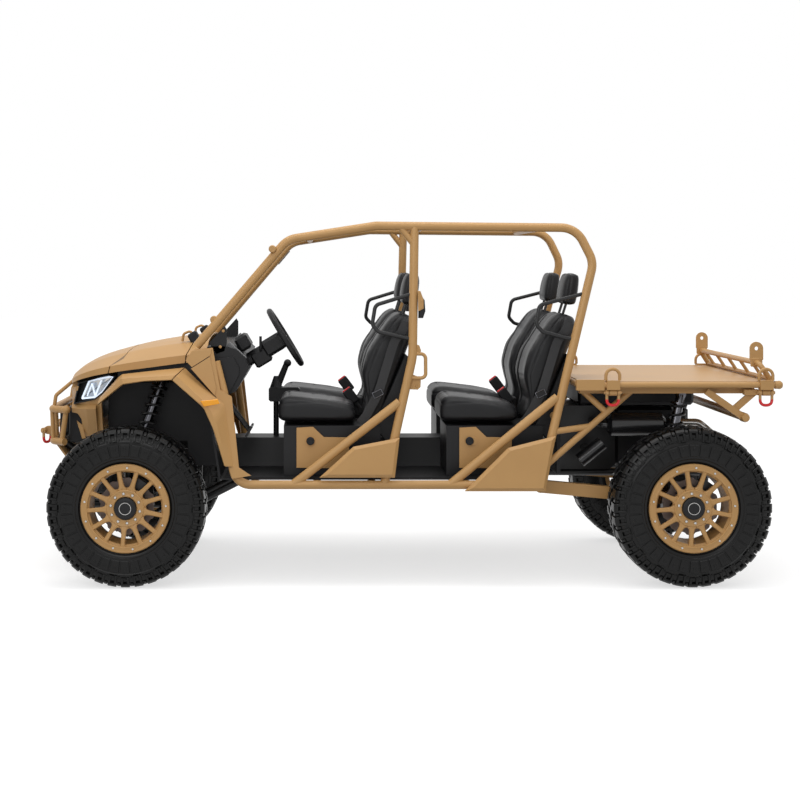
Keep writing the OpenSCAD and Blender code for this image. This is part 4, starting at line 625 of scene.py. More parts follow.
# %% [markdown]
# The rims are cast with thirteen slim spokes, and a ring bolted on the outside clamps the tyre's bead.
# Each spoke is a strip whose width grows in a curve towards the hub, so that the gaps end round. The
# barrel, ring and hub are turned profiles. Bolts and nuts are turned pieces with few sides, laid out on
# their circles.

# %% Rims
SPOKES, SPOKE_PHASE = 13, math.radians(100)
RING_PROFILE = [(190, 103), (190, 114), (191.5, 117.6), (194, 118.4), (197, 118.4), (199, 117.2),
                (214, 117.2), (216, 118.4), (220, 117.6), (223.5, 114), (224, 110), (224, 101), (197, 101),
                (194, 99)]
BARREL_PROFILE = [(195.2, -105), (208, -106), (209, -100.5), (195.2, -99.6), (195.2, 100.3), (191, 101),
                  (190, 104), (182, 96), (180, 88), (181, 80), (186, 74), (183, 40), (174, 10), (174, -40),
                  (184, -70), (188, -104)]
HUB_PROFILE = [(56.4, 70), (56.4, 100), (58, 104), (62, 105.5), (66, 103.5), (84, 103.5), (88, 105.5),
               (92, 104.5), (95, 100), (96, 78), (90, 70)]
SPOKE_R = np.array([82, 92, 98, 100, 101, 103, 106, 110, 116, 126, 145, 165, 178, 185, 189, 193.0])
SPOKE_HALF = np.array([19.5, 22, 23.4, 23.8, 20.5, 17.8, 15.4, 13.6, 12.4, 11.6, 11, 10.8, 11, 11.8,
                       13.6, 17])
SPOKE_TOP = np.array([98, 101, 102.8, 103.2, 103.4, 103.8, 104.5, 105.2, 106, 107.5, 109.5, 111, 112.2, 112.8,
                      113, 113])


def round_places(count, radius, phase=0.0):
    """Places on a circle and the turns that carry a piece to them."""
    a = phase + np.arange(count) * 2 * np.pi / count
    return [((radius * math.cos(t), radius * math.sin(t), 0),
             np.array([[math.cos(t), -math.sin(t), 0], [math.sin(t), math.cos(t), 0], [0, 0, 1]])) for t in a]


def spoke():
    """At each radius the section is a bar of the given half width with a chamfered outer face."""
    w, top, depth = SPOKE_HALF[:, None], SPOKE_TOP[:, None], np.linspace(30, 20, len(SPOKE_R))[:, None]
    across = w * np.array([-0.9, -1, -1, -0.62, 0.62, 1, 1, 0.9])
    level = top + np.array([0, 0, -4.5, 0, 0, -4.5, 0, 0]) - depth * np.array([1, 0.85, 0, 0, 0, 0, 0.85, 1])
    along = np.broadcast_to(SPOKE_R[:, None], across.shape)
    return loft(np.stack([along, across, level], -1) * MM)


turnings = [turned(RING_PROFILE, 104, True), turned(BARREL_PROFILE, 104, True), turned(HUB_PROFILE, 72, True)]
spokes = [spoke().moved(turn=turn) for _, turn in round_places(SPOKES, 0, SPOKE_PHASE)]
rim = joined(turnings + spokes).moved(turn=OUTBOARD)
ring_bolt = turned([(6, 115), (6, 119.5), (5, 121), (2.9, 121), (2.6, 118.6), (0.1, 118.6)], 12)
lug_nut = turned([(8, 100), (8, 105.5), (6.8, 107), (6.3, 109.5), (5.2, 110.5), (3.4, 110.5), (3.1, 106),
                  (0.1, 106)], 12)
bolts = [ring_bolt.moved(at) for at, _ in round_places(SPOKES, 205 * MM, math.radians(87))]
nuts = [lug_nut.moved(at) for at, _ in round_places(10, 74 * MM, math.radians(97))]
fasteners = joined(bolts + nuts).moved(turn=OUTBOARD)
cap = turned([(55.5, 76), (55.8, 110), (54, 115), (49, 118.2), (42, 119.6), (37, 119.8), (35.5, 118.8),
              (24, 119.2), (12, 119.6), (0.1, 119.8)], 48).moved(turn=OUTBOARD)
cap_ring = turned([(28, 118), (28, 120.2), (30.5, 120.2), (30.5, 118)], 48, True).moved(turn=OUTBOARD)
for end, side, corner in WHEELS:
    wheel = "wheel_" + corner
    put("spoked_rim_" + corner, at_wheel(rim, end, side), tan_coat, 30, ["rim_" + corner], wheel)
    put("rim_bolts_" + corner, at_wheel(fasteners, end, side), bright_steel, 30, body=wheel)
    put("cap_ring_" + corner, at_wheel(cap_ring, end, side), bright_steel, 30, body=wheel)
    put("hub_cap_" + corner, at_wheel(cap, end, side), black_mould, 30, body=wheel)

# %% [markdown]
# Brake discs on such wheels have a wavy edge that clears mud. The disc is a grid round the axle whose
# inner and outer radii swing with the angle, and it stands on the same hub as the solid one.

# %% Brake discs
DISC_WAVES = 10


def brake_disc():
    """Outer radius swings by a cosine of the wave count; the ring's section is a flat bar."""
    a = np.linspace(0, 2 * np.pi, 160, endpoint=False)
    outer = 140 - 5 * np.clip(np.cos(DISC_WAVES * a) * 2.2, -1, 1)
    inner = 99 + 6 * np.clip(np.cos(DISC_WAVES * a) * 1.8, -1, 1)
    rings = [(inner, 20), (inner, 30), (outer, 30), (outer, 20)]
    points = [np.stack([r * np.cos(a), r * np.sin(a), 0 * a + z], 1) for r, z in rings]
    return loft(np.array(points) * MM, close_rows=True)


arms = [block((62, 20, 9), 1.5, (73, 0, 25)).moved(turn=turn) for _, turn in round_places(5, 0)]
carrier = turned([(23.5, -29), (23.5, 20), (52, 20), (52, 32), (84, 34), (84, 61), (80, 61.6), (46, 61.6),
                  (46, 70), (0.1, 70)], 48)
disc = joined([brake_disc(), carrier] + arms).moved(turn=OUTBOARD)
for end, side, corner in WHEELS:
    put("brake_disc_" + corner, at_wheel(disc, end, side), dark_iron, 30, ["hub_" + corner],
        "wheel_" + corner)

# %% [markdown]
# Each corner has a coil-over: a damper inside a coil spring. A spring is a circle carried along a helix
# about the damper's line, with its end turns wound flatter, as real springs have them.

# %% Springs
DAMPER_LINES = [((-1395, -450, 589.9), (-1245, -380, 1030.7)), ((1358, -490, 471.4), (1460, -440, 945.7))]
SPRING_TURNS, SPRING_R, WIRE_R = 7, 37, 6.2


def coil(foot, top):
    """The angle runs evenly. The height climbs evenly, and less steeply in the end turns."""
    foot, top = np.array(foot, float) * MM, np.array(top, float) * MM
    length = np.linalg.norm(top - foot)
    t = np.linspace(0, 1, SPRING_TURNS * 26 + 1)
    climb = np.interp(t, [0, 0.06, 0.94, 1], [0, 0.025, 0.975, 1])
    angle = 2 * np.pi * SPRING_TURNS * t
    local = np.column_stack([SPRING_R * MM * np.cos(angle), SPRING_R * MM * np.sin(angle),
                             length * (0.22 + 0.66 * climb)])
    frame_turn = axes(top - foot, (0, 1, 0))
    return sweep(local @ frame_turn.T + foot, circle(WIRE_R * MM, 10), frame_turn[:, 2])


springs = joined(coil(*line) for line in DAMPER_LINES)
put("coil_springs", both(springs), black_coat, 50, ["springs"])

# %% [markdown]
# The seats are foam under sewn vinyl. A plain block would look hard, so each pad starts as a slightly
# small closed form, is blown up by Blender's cloth pressure as a stuffed cover is, and then gets its sewn
# channels: points near a seam move in along their normal by a bell curve of their distance from the seam.
# One pad of each kind is made and carried to the four seats.

# %% Pads
ROUND_POWER, CLOTH_PRESSURE, CLOTH_FRAMES = 5.0, 4.0, 20


def pad_form(stations, half_w, low, high, count=40):
    """Rings along one axis; each is a super-ellipse |y/w|^n + |z/h|^n = 1 between a low and a high level."""
    table = smooth_line(np.column_stack([stations, half_w, low, high]), count)
    a = np.linspace(0, 2 * np.pi, 72, endpoint=False)
    c, s = np.cos(a), np.sin(a)
    y = np.sign(c) * np.abs(c) ** (2 / ROUND_POWER)
    z = np.sign(s) * np.abs(s) ** (2 / ROUND_POWER)
    along, w, zl, zh = (table[:, k, None] for k in range(4))
    return np.stack([along + 0 * a, w * y, (zl + zh) / 2 + (zh - zl) / 2 * z], -1) * MM


def evaluated(thing):
    return thing.evaluated_get(bpy.context.evaluated_depsgraph_get())


def point_table(mesh, what):
    """One row of three numbers for every point of a mesh."""
    values = np.empty(len(mesh.vertices) * 3)
    mesh.vertices.foreach_get(what, values)
    return values.reshape(-1, 3)


def stuffed(name, rings, voxel, limit, seams):
    """Remeshes a form, lets cloth pressure swell it by up to a limit, subdivides it and sews its seams."""
    raw = bpy.data.objects.new(name, loft(rings).mesh(name))
    scene.collection.objects.link(raw)
    even = raw.modifiers.new("even", "REMESH")
    even.mode, even.voxel_size = "VOXEL", voxel
    mesh = bpy.data.meshes.new_from_object(evaluated(raw))
    raw.modifiers.clear()
    raw.data = mesh
    rest = point_table(mesh, "co")
    cloth = raw.modifiers.new("cloth", "CLOTH").settings
    cloth.use_pressure, cloth.uniform_pressure_force = True, CLOTH_PRESSURE
    cloth.effector_weights.gravity = 0
    for number in range(1, CLOTH_FRAMES + 1):
        scene.frame_set(number)
    shift = point_table(evaluated(raw).data, "co") - rest
    far = np.linalg.norm(shift, axis=1, keepdims=True)
    shift *= np.minimum(1, limit / np.maximum(far, 1e-9))
    raw.modifiers.clear()
    scene.frame_set(1)
    mesh.vertices.foreach_set("co", (rest + shift).ravel())
    finer = raw.modifiers.new("finer", "SUBSURF")
    finer.levels = finer.render_levels = 1
    mesh = bpy.data.meshes.new_from_object(evaluated(raw))
    bpy.data.objects.remove(raw)
    points, normals = point_table(mesh, "co"), point_table(mesh, "normal")
    points = points - normals * seams(points, normals)[:, None]
    corners = np.empty(len(mesh.loops), int)
    mesh.loops.foreach_get("vertex_index", corners)
    bpy.data.meshes.remove(mesh)
    return Shape(points, [corners.reshape(-1, 4)]).outward()


def groove(distance, width, depth):
    return depth * np.exp(-((distance / width) ** 2))


# %% Seat pads
def cushion_seams(p, n):
    """Two long seams and one cross seam on top, and the boxing seam round the side under the top edge."""
    x, y, z = (p / MM).T
    top = np.clip((n[:, 2] - 0.25) * 3, 0, 1)
    wall = np.clip((0.75 - np.abs(n[:, 2])) * 3, 0, 1)
    inner = 140 + 14 * np.sin(x / 400 * np.pi)
    cut = top * (x > 52) * groove(np.abs(y) - inner, 7, 6.5)
    cut += top * (np.abs(y) < inner) * groove(x - 60, 7, 5.5)
    cut += top * (np.abs(y) < inner - 8) * groove(np.abs((x - 60) % 85 - 42.5), 9, 2) * (x > 110)
    edge = np.interp(x, [0, 29, 120, 236, 330, 402], [104, 112, 118, 122, 104, 76])
    return (cut + wall * groove(z - edge, 5, 4)) * MM


def back_seams(p, n):
    """Bolster seams down the front, cross channels between them, and the boxing seam along the sides."""
    z, y, x = (p / MM).T
    front = np.clip((-n[:, 2] - 0.25) * 3, 0, 1)
    wall = np.clip((0.75 - np.abs(n[:, 2])) * 3, 0, 1)
    inner = 138 - 30 * np.clip(z / 600, 0, 1)
    cut = front * (z > 60) * (z < 556) * groove(np.abs(y) - inner, 7, 8)
    channels = groove(np.abs((z - 60) % 96 - 48), 9, 1.5)
    cut += front * (np.abs(y) < inner - 8) * channels * (z < 500) * (z > 90)
    edge = np.interp(z, [80, 130, 228, 390, 528, 600], [126, 112, 62, 62, 92, 124])
    return (cut + wall * (groove(x - edge, 5, 5) + groove(x - 128, 4, 2.5))) * MM


def head_seams(p, n):
    """One boxing seam round the sides."""
    wall = np.clip((0.8 - np.abs(n[:, 2])) * 3, 0, 1)
    return wall * groove(p[:, 2] / MM - 40, 4.5, 3.5) * MM


def bolstered(rings, spread, lift, dip):
    """Lifts the upper side of a pad near its edges and dips it between them, fading towards both ends."""
    rings = rings.copy()
    y, z = rings[..., 1] / MM, rings[..., 2]
    width = np.abs(y).max(1, keepdims=True)
    high = z > z.mean(1, keepdims=True)
    share = np.abs(y) / width
    fade = np.sin(np.linspace(0.12, 0.95, len(rings)) * np.pi)[:, None]
    roll = lift * np.exp(-(((share - spread) / 0.2) ** 2)) - dip * (1 - share**2)
    rings[..., 2] += high * fade * MM * roll
    return rings


cushion_rings = pad_form([7, 14, 52, 165, 300, 390, 410], [196, 216, 232, 233, 232, 222, 206],
                         [44, 26, 18, 18, 18, 20, 30], [98, 126, 146, 136, 119, 104, 88])
cushion_rings = bolstered(cushion_rings, 0.84, 5, 4)
rear_share = np.clip((cushion_rings[..., :1] / MM - 290) / 120, 0, 1)
corner_share = rear_share * (np.abs(cushion_rings[..., 1:2]) / 0.232) ** 4
cushion_rings[..., 2:] -= 0.022 * corner_share * (cushion_rings[..., 2:] > 0.06)
back_rings = pad_form([8, 30, 78, 120, 165, 228, 320, 390, 528, 578, 592],
                      [194, 213, 225, 230, 232, 232, 230, 225, 198, 162, 138],
                      [-185, -207, -207, -207, -207, -207, -207, -207, -203, -192, -178],
                      [-120, -116, -112, -100, -66, -30, -16, -24, -56, -86, -112])
back_rings = bolstered(back_rings, 0.82, 6, 26) * np.array([1, 1, -1])
head_rings = pad_form([-16, -9, 60, 128, 142], [100, 112, 118, 110, 92], [-78, -86, -89, -86, -76],
                      [-22, -10, -7, -16, -30], 24) * np.array([1, 1, -1])
cushion = stuffed("cushion", cushion_rings, 10 * MM, 5 * MM, cushion_seams)
seat_back = stuffed("seat_back", back_rings, 10 * MM, 4 * MM, back_seams)
head_pad = stuffed("head_pad", head_rings, 8 * MM, 4 * MM, head_seams)
print("pad points", len(cushion.points), len(seat_back.points), len(head_pad.points))

# %% Seats
LEAN, HEAD_LEAN = math.radians(22), math.radians(22 - 14)
CUSHION_AT = np.array([-646, -345, 797]) * MM
BACK_AT = np.array([-322, -345, 797 + 215 * 0.90 * math.sin(LEAN)]) * MM
ROW_PITCH, SEAT_PITCH = 834 * MM, 690 * MM
SEATS = [(row + "_" + side, np.array([back, across, 0]))
         for row, back in (("front", 0), ("rear", ROW_PITCH))
         for side, across in (("left", 0), ("right", SEAT_PITCH))]


def leaning(angle):
    """A turn that takes height, width and depth of an upright pad to X, Y and Z, leaning back by an angle."""
    s, c = math.sin(angle), math.cos(angle)
    return np.array([[s, 0, c], [0, 1, 0], [c, 0, -s]])


head_foot = BACK_AT + leaning(LEAN) @ np.array([660, 0, 127]) * MM
head_at = head_foot + leaning(HEAD_LEAN) @ np.array([0, 0, -48]) * MM
post_low = BACK_AT + leaning(LEAN) @ np.array([585, 0, 127]) * MM
posts = joined(tube([post_low + (0, y, 0), head_foot + (0, y, 0.02)], 7 * MM, 0, 12) for y in (-0.07, 0.07))
PADS = [("cushion_", cushion, CUSHION_AT, np.eye(3), "seat_cushions"),
        ("seat_back_", seat_back, BACK_AT, leaning(LEAN), "seat_backs"),
        ("head_pad_", head_pad, head_at, leaning(HEAD_LEAN), "headrests")]
for seat, step in SEATS:
    for start, form, at, turn, node in PADS:
        piece = put(start + seat, form.moved(at + step, turn).outward(), vinyl, 60)
        if seat == "front_left":
            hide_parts(node)
put("headrest_posts", joined(posts.moved(step) for _, step in SEATS), black_coat, 40)

# %% [markdown]
# Every seat has a three-point belt. The strap is a flat band: a thin rectangle carried along a line from
# the pillar over the side of the back down to the seat, with a latch plate on it. The buckle stands
# between the seats on a stalk that leans forward, and its release button is red.


# %% Belts
def strap(points, width, thick, across=(0, 1, 0)):
    """A band whose flat side faces along one axis: its section stands in the plane of the line."""
    line = smooth_line(np.asarray(points, float) * MM, 40)
    w, t = width / 2 * MM, thick / 2 * MM
    return sweep(line, [(-t, -w), (t, -w), (t, w), (-t, w)], np.cross(across, unit(line[-1] - line[0])))


belt_line = [(22, -606, 1330), (-4, -604, 1278), (-40, -598, 1226), (-80, -596, 1100), (-118, -596, 979),
             (-150, -597, 912), (-184, -597, 850), (-214, -596, 812)]
LATCH = np.array([(-27, -14), (27, -14), (24, 2), (27, 16), (-27, 16), (-24, 2)])
latch = plate(LATCH, 4, 1)
latch_edge = rounded(LATCH, 6, 4, True)
latch_frame = sweep(np.column_stack([latch_edge, np.full(len(latch_edge), 4)]) * MM, circle(2.2 * MM, 8),
                    closed=True)
stalk_lean = np.array([-0.60, 0, 0.80])
buckle_turn = np.stack([np.array([0.80, 0, 0.60]), np.array([0.0, 1, 0]), stalk_lean], 1)
buckle_body = block((54, 30, 84), 5)
release = block((46, 22, 9), 2.5, (0, 0, 43))
buckle_at = np.array([-253, -130, 914]) * MM
RIGHT_BUCKLE_SHIFT = (-0.022, -0.048, 0.046)
stalk_line = [(-0.196, -0.105, 0.700), (-0.196, -0.105, 0.840), buckle_at - stalk_lean * 0.03]
stalk = tube(stalk_line, 9 * MM, 0.04, 10)
latch_at = (-0.124, -0.599, 0.962)
face_turn = np.stack([np.array([0.89, 0, 0.45]), np.array([-0.45, 0, 0.89]), np.array([0, -1.0, 0])], 1)
straps, metal, bodies, buttons = [], [], [], []
for row in (0, 1):
    step = np.array([row * ROW_PITCH, 0, 0])
    straps += [both(strap(belt_line, 46, 3)).moved(step), both(stalk).moved(step)]
    bodies.append(both(latch.moved(latch_at, face_turn).outward()).moved(step))
    metal.append(both(latch_frame.moved(latch_at, face_turn).outward()).moved(step))
    for sign, shift in ((1, (0, 0, 0)), (-1, RIGHT_BUCKLE_SHIFT)):
        at = buckle_at * (1, sign, 1) + step + shift
        bodies.append(buckle_body.moved(at, buckle_turn).outward())
        buttons.append(release.moved(at, buckle_turn).outward())
put("belt_straps", joined(straps), webbing, 40, ["belt_buckles"])
put("belt_latches", joined(metal), dark_chrome, 30)
put("buckle_bodies", joined(bodies), black_mould, 30)
put("buckle_buttons", joined(buttons), red_coat, 30)

# %% [markdown]
# The hood is one smooth surface in three panels. Tables give the heights of its middle, its shoulder and
# its lower edge, and the half widths of shoulder and edge, along its length. At every length the section
# is a line through those points with rounded corners. The panels share the surface and stop just short of
# the slanted seams.

# %% Hood
HOOD_ROWS = np.array([(0.00, 1016, 1008, 996, 120, 165), (0.02, 1040, 1029, 1004, 245, 320),
                      (0.05, 1066, 1053, 1018, 320, 415), (0.13, 1107, 1092, 1042, 378, 500),
                      (0.25, 1144, 1130, 1066, 405, 560), (0.42, 1180, 1164, 1088, 425, 592),
                      (0.60, 1210, 1192, 1106, 440, 606), (0.82, 1236, 1216, 1128, 452, 612),
                      (1.00, 1250, 1228, 1140, 456, 612)])
HOOD_FRONT, HOOD_LONG, PANEL_T = -1747, 749, 6


def hood_sections(count):
    """Half sections from the middle to the lip, as arrays of y and z for evenly spaced lengths."""
    share = np.linspace(0, 1, count)
    table = smooth_line(HOOD_ROWS, 200)
    crown, shoulder, edge, half, wide = (np.interp(share, table[:, 0], table[:, k]) for k in range(1, 6))
    made = []
    for c, s, e, h, w in zip(crown, shoulder, edge, half, wide):
        band = 0.34 * (s - e)
        corners = np.array([(0, c), (0.55 * h, s + 0.72 * (c - s)), (h, s), (w - 3, e + band),
                            (w - 1, e - 10)])
        line = np.concatenate([rounded(corners[:4], 50, 8), corners[4:]])
        run = np.concatenate([[0], np.cumsum(np.linalg.norm(np.diff(line, axis=0), axis=1))])
        at = np.concatenate([np.linspace(0, run[-2], 38), [0.4 * run[-2] + 0.6 * run[-1], run[-1]]])
        made.append(np.stack([np.interp(at, run, line[:, 0]), np.interp(at, run, line[:, 1])], 1))
    return HOOD_FRONT + share * HOOD_LONG, np.array(made)


HOOD_X, HOOD_HALF = hood_sections(160)


def hood_panel(starts, ends, rows):
    """The surface between two lengths given for each column, with its underside a panel's thickness below."""
    cols = HOOD_HALF.shape[1]
    u = np.linspace(0, 1, rows)[:, None]
    x = starts[None] * (1 - u) + ends[None] * u
    y, z = (np.stack([np.interp(x[:, k], HOOD_X, HOOD_HALF[:, k, axis]) for k in range(cols)], 1)
            for axis in (0, 1))
    half = np.stack([x, -y, z], -1)
    top = np.concatenate([half[:, ::-1], half[:, 1:] * (1, -1, 1)], 1)
    under = np.maximum(top[..., 2] - PANEL_T, top[:, :1, 2] + 0 * top[..., 2])
    below = np.stack([top[..., 0], top[..., 1] - np.sign(top[..., 1]) * PANEL_T, under], -1)
    return loft(np.concatenate([top, below[:, ::-1]], 1) * MM)


cols = HOOD_HALF.shape[1]
place = np.arange(cols)
front_seam = np.interp(place, [0, 27, 32, 37, cols - 1], [-1412, -1424, -1438, -1498, -1508])
rear_seam = np.interp(place, [0, 27, 37, cols - 1], [-1046, -1076, -1104, -1108])
nose = hood_panel(np.full(cols, HOOD_FRONT), front_seam - 2.5, 40)
bonnet = hood_panel(front_seam + 2.5, rear_seam - 3, 40)
cowl_strip = hood_panel(rear_seam + 3, np.full(cols, HOOD_FRONT + HOOD_LONG - 1.0), 12)
put("hood_panels", joined([nose, bonnet, cowl_strip]), tan_panel, 24, ["hood"])
lip = HOOD_HALF[4:, -1]
recess = np.interp(HOOD_X[4:], [-1500, -1460], [118, 46])
liner = np.stack([np.stack([HOOD_X[4:], np.minimum(recess + more - lip[:, 0], -20), lip[:, 1] - drop], 1)
                  for more, drop in ((0, -4), (0, 66), (6, 66), (6, -4))], 1)
put("hood_liner", both(loft(liner * MM)), black_mould, 30)

# %% [markdown]
# A fender is a folded strip round the wheel arch: a top face, a crease and a side face down to the lip.
# Its sections are given along the arch, and straight runs between them keep the folds crisp. It is split
# at a seam behind the axle.

# %% Fenders
FENDER = np.array([[(-150, 560, 948), (-152, 628, 935), (-158, 640, 912)],
                   [(-42, 600, 1062), (-30, 716, 1046), (-22, 728, 1022)],
                   [(106, 622, 1080), (100, 742, 1058), (92, 752, 1040)],
                   [(284, 622, 1098), (250, 748, 1066), (232, 758, 1046)],
                   [(440, 690, 956), (405, 752, 925), (392, 762, 906)],
                   [(492, 690, 918), (452, 752, 840), (440, 762, 800)],
                   [(541, 716, 604), (508, 750, 610), (497, 756, 612)]], float)


def fender_panel(sections, first, last):
    """Sections from one share of the way to another, with an underside a little nearer the wheel's middle."""
    share = np.linspace(first, last, 24)
    along = np.arange(len(sections))
    face = np.stack([[np.interp(share, along, sections[:, k, axis]) for axis in range(3)] for k in range(3)])
    face = face.transpose(2, 0, 1) * (1, -1, 1) + (FRONT_X / MM, 0, 0)
    inner = face[:, ::-1] + PANEL_T * unit(np.array([FRONT_X / MM, -500, AXLE_Z / MM]) - face[:, ::-1])
    lip = inner[:, :1] + (0, 22, 0)
    return loft(np.concatenate([face, lip, inner[:, 1:]], 1) * MM)


fenders = [fender_panel(FENDER, first, last) for first, last in ((0, 2.985), (3.015, 6))]
put("fender_panels", both(joined(fenders)), tan_panel, 20, ["fenders"])

# %% [markdown]
# A headlamp sits in a black tub that follows the sweep of the nose. Its daytime light is a bright frame
# with three slanted bars, in front of a metal reflector. The side signal is a small amber block on the
# fender.


# %% Lamps
def lamp_rings(levels):
    """Outlines in millimetres behind the front axle and above the ground, at depths behind the swept face."""
    rings = []
    for outline, depth in levels:
        p = np.asarray(outline, float)
        swept = -(432 + 0.5 * (p[:, 0] + 306)) + depth
        rings.append(np.column_stack([p[:, 0], swept, p[:, 1]]) * MM + (FRONT_X, 0, 0))
    return np.array(rings)


def bar(first, last, width):
    """A straight bar's outline between two points."""
    a, b = np.array(first, float), np.array(last, float)
    across = np.array([[0, -1], [1, 0]]) @ unit(b - a) * width / 2
    return np.array([a - across, b - across, b + across, a + across])


TUB = np.array([(-313, 893), (-192, 922), (-148, 956), (-76, 1050), (-124, 1058), (-286, 1008)], float)
LENS = rounded([(-268, 919), (-182, 931), (-146, 960), (-82, 1043), (-92, 1055), (-228, 1025), (-269, 932)],
               8, 4, True)
LIGHT_BARS = [((-208, 1006), (-192, 944), 9), ((-156, 1024), (-190, 944), 9), ((-208, 1006), (-236, 940), 7)]
lens_rim, lens_step = inset(LENS, 2), inset(LENS, 11)
tub = loft(lamp_rings([(TUB, 86), (TUB, 4), (inset(TUB, 3), 0.5), (inset(TUB, 7), 0.5),
                       (inset(TUB, 11), 30)]))
light_frame = loft(lamp_rings([(lens_rim, 14), (lens_rim, 3), (lens_step, 3), (lens_step, 14)]), True)
light_bars = [loft(lamp_rings([(bar(*line), 14), (bar(*line), 5)])) for line in LIGHT_BARS]
mirror = loft(lamp_rings([(inset(LENS, 4), 29), (inset(LENS, 4), 20), (inset(LENS, 14), 26)]))
signal_at = np.array([-975, -768, 930]) * MM
signal = plate([(-45, 10), (-26, -19), (53, -4), (42, 19)], 9, 2)
day_light = Finish("day_light").set(Base_Color=(0.80, 0.88, 1.0), Roughness=0.2,
                                    Emission_Color=(0.72, 0.84, 1.0), Emission_Strength=0.55)
put("lamp_tubs", both(tub), black_mould, 30, ["lamps"])
put("lamp_lights", both(joined([light_frame] + light_bars)), day_light, 30)
put("lamp_mirrors", both(mirror), bright_steel, 30)
put("side_signals", both(signal.moved(signal_at, OUTBOARD)), amber_lens, 30)

# %% [markdown]
# Plates, brackets and covers finish the cab. The cowl beside the door is two panels with a slanted gap
# between them; a thin black strip under the gap is painted shade that keeps the gap dark. Brackets hold
# the front pillars, and each seat plate has a round knob.


# %% Cowl and cab details
def on_cowl(outline, lift, thick):
    """A plate laid on the cowl's leaning face y = 726.8 - 0.0914 (z - 509), in millimetres."""
    made = side_plate(outline, lift, thick, 1)
    made.points[:, 1] -= (726.8 - 0.0914 * (made.points[:, 2] / MM - 509)) * MM
    return made


COLUMN = np.array([[0.8536, 0, -0.521], [0, 1, 0], [0.521, 0, 0.8536]])
UPRIGHT = (0, 0, 1)
# The black strip under the gap between the two cowl panels is painted shade in the gap.
cowl_gap_shade = on_cowl([(-1084, 1116), (-982, 1178), (-980, 1148), (-1078, 1088)], 0, 1)
filler = side_plate([(-1110, 1110), (-1040, 1140), (-930, 970), (-925, 900), (-1010, 950)], 590, 5)
seat_frame = side_plate([(-150, 792), (-66, 700), (-46, 712), (-10, 920), (34, 1150), (18, 1162), (-60, 980)],
                        130, 430, 4)
seat_heel = block((70, 60, 104), 6, (-222, -50, 852))
seat_frames = [piece.moved((far, 0, 0)) for piece in (seat_frame, seat_heel) for far in (0, ROW_PITCH)]
cowl_panels = [on_cowl([(-1071, 1186), (-969, 1197), (-976, 1162), (-1069, 1103), (-1102, 1136)], 1, 5),
               on_cowl([(-1074, 1096), (-978, 1156), (-945, 996), (-953, 960)], 1, 5)]
brackets = side_plate([(-988, 1222), (-908, 1310), (-897, 1292), (-897, 1219), (-908, 1179), (-952, 1164)],
                      592, 8)
cheek = side_plate([(-968, 1145), (-862, 1152), (-832, 1097), (-832, 1061), (-887, 954), (-953, 1002)],
                   601, 8, 3)
hood_block = block((52, 70, 66), 8, (-1074, -430, 1240), COLUMN)
hook = rod([(-1138, -430, 1222), (-1132, -430, 1262), (-1100, -430, 1276), (-1080, -430, 1262)], 7, 20,
           UPRIGHT, 10)
discs = studs([(-962, 1342), (-663, 1703)], 594, 20, 30)
pad = side_plate([(84, 1482), (114, 1442), (118, 1386), (106, 1350), (82, 1350)], 596, 30, 6)
pad_plate = side_plate([(78, 1490), (92, 1488), (108, 1445), (108, 1398), (80, 1384)], 627, 6)
handle_plates = [side_plate([(38, 1068), (94, 1048), (92, 1000), (78, 986), (30, 988)], 630, 7),
                 side_plate([(62, 1218), (86, 1212), (96, 1182), (84, 1166), (60, 1168)], 626, 7)]
bolt_heads = [studs([(71, 1042), (71, 1004)], 637, 6, 5), studs([(98, 1440), (98, 1404)], 633, 4, 3),
              studs([(-915, 1284), (-930, 1203)], 600, 8, 5)]
tan_pieces = cowl_panels + [hook, discs, pad_plate] + handle_plates + bolt_heads
put("cowl_and_plates", both(joined(tan_pieces)), tan_panel, 30)
knob = turned([(21, 0), (21, 9), (18, 12), (13, 12), (11, 9), (0.1, 9)], 24)
knobs = [knob.moved((x * MM, -599 * MM, 721 * MM), OUTBOARD) for x in (-469, 345)]
black_pieces = [cowl_gap_shade, filler, brackets, cheek, hood_block, pad] + knobs + seat_frames
put("cab_covers", both(joined(black_pieces)), black_mould, 30)
shroud = [block((120, 100, 92), 16, (-668, -345, 1200), COLUMN),
          block((96, 84, 84), 10, (-728, -345, 1136), COLUMN),
          block((70, 220, 84), 14, (-822, -345, 1215), COLUMN),
          rod([(-731, -345, 1168), (-731, -408, 1176), (-731, -410, 1248)], 7, 20, UPRIGHT, 10),
          rod([(-646, 0, 984), (-604, 0, 1080)], 15, 0, UPRIGHT, 16),
          rod([(-680, 603, 1639.6), (-615, 602, 1716.6)], 26, 0, UPRIGHT, 20)]
put("column_covers", joined(shroud), black_mould, 30)
dash_strip = side_plate([(-906, 1204), (-884, 1228), (-796, 1146), (-816, 1124)], 545, 22, 5)
put("dash_strips", both(dash_strip), grey_mould, 30)

# %% [markdown]
# Behind the seats a bulkhead and an air box fill the space under the deck. The deck's struts, the saddles
# under the rack's lugs and the ball at the end of each rail are small tan pieces. The rack is a bent tube
# with five rungs.

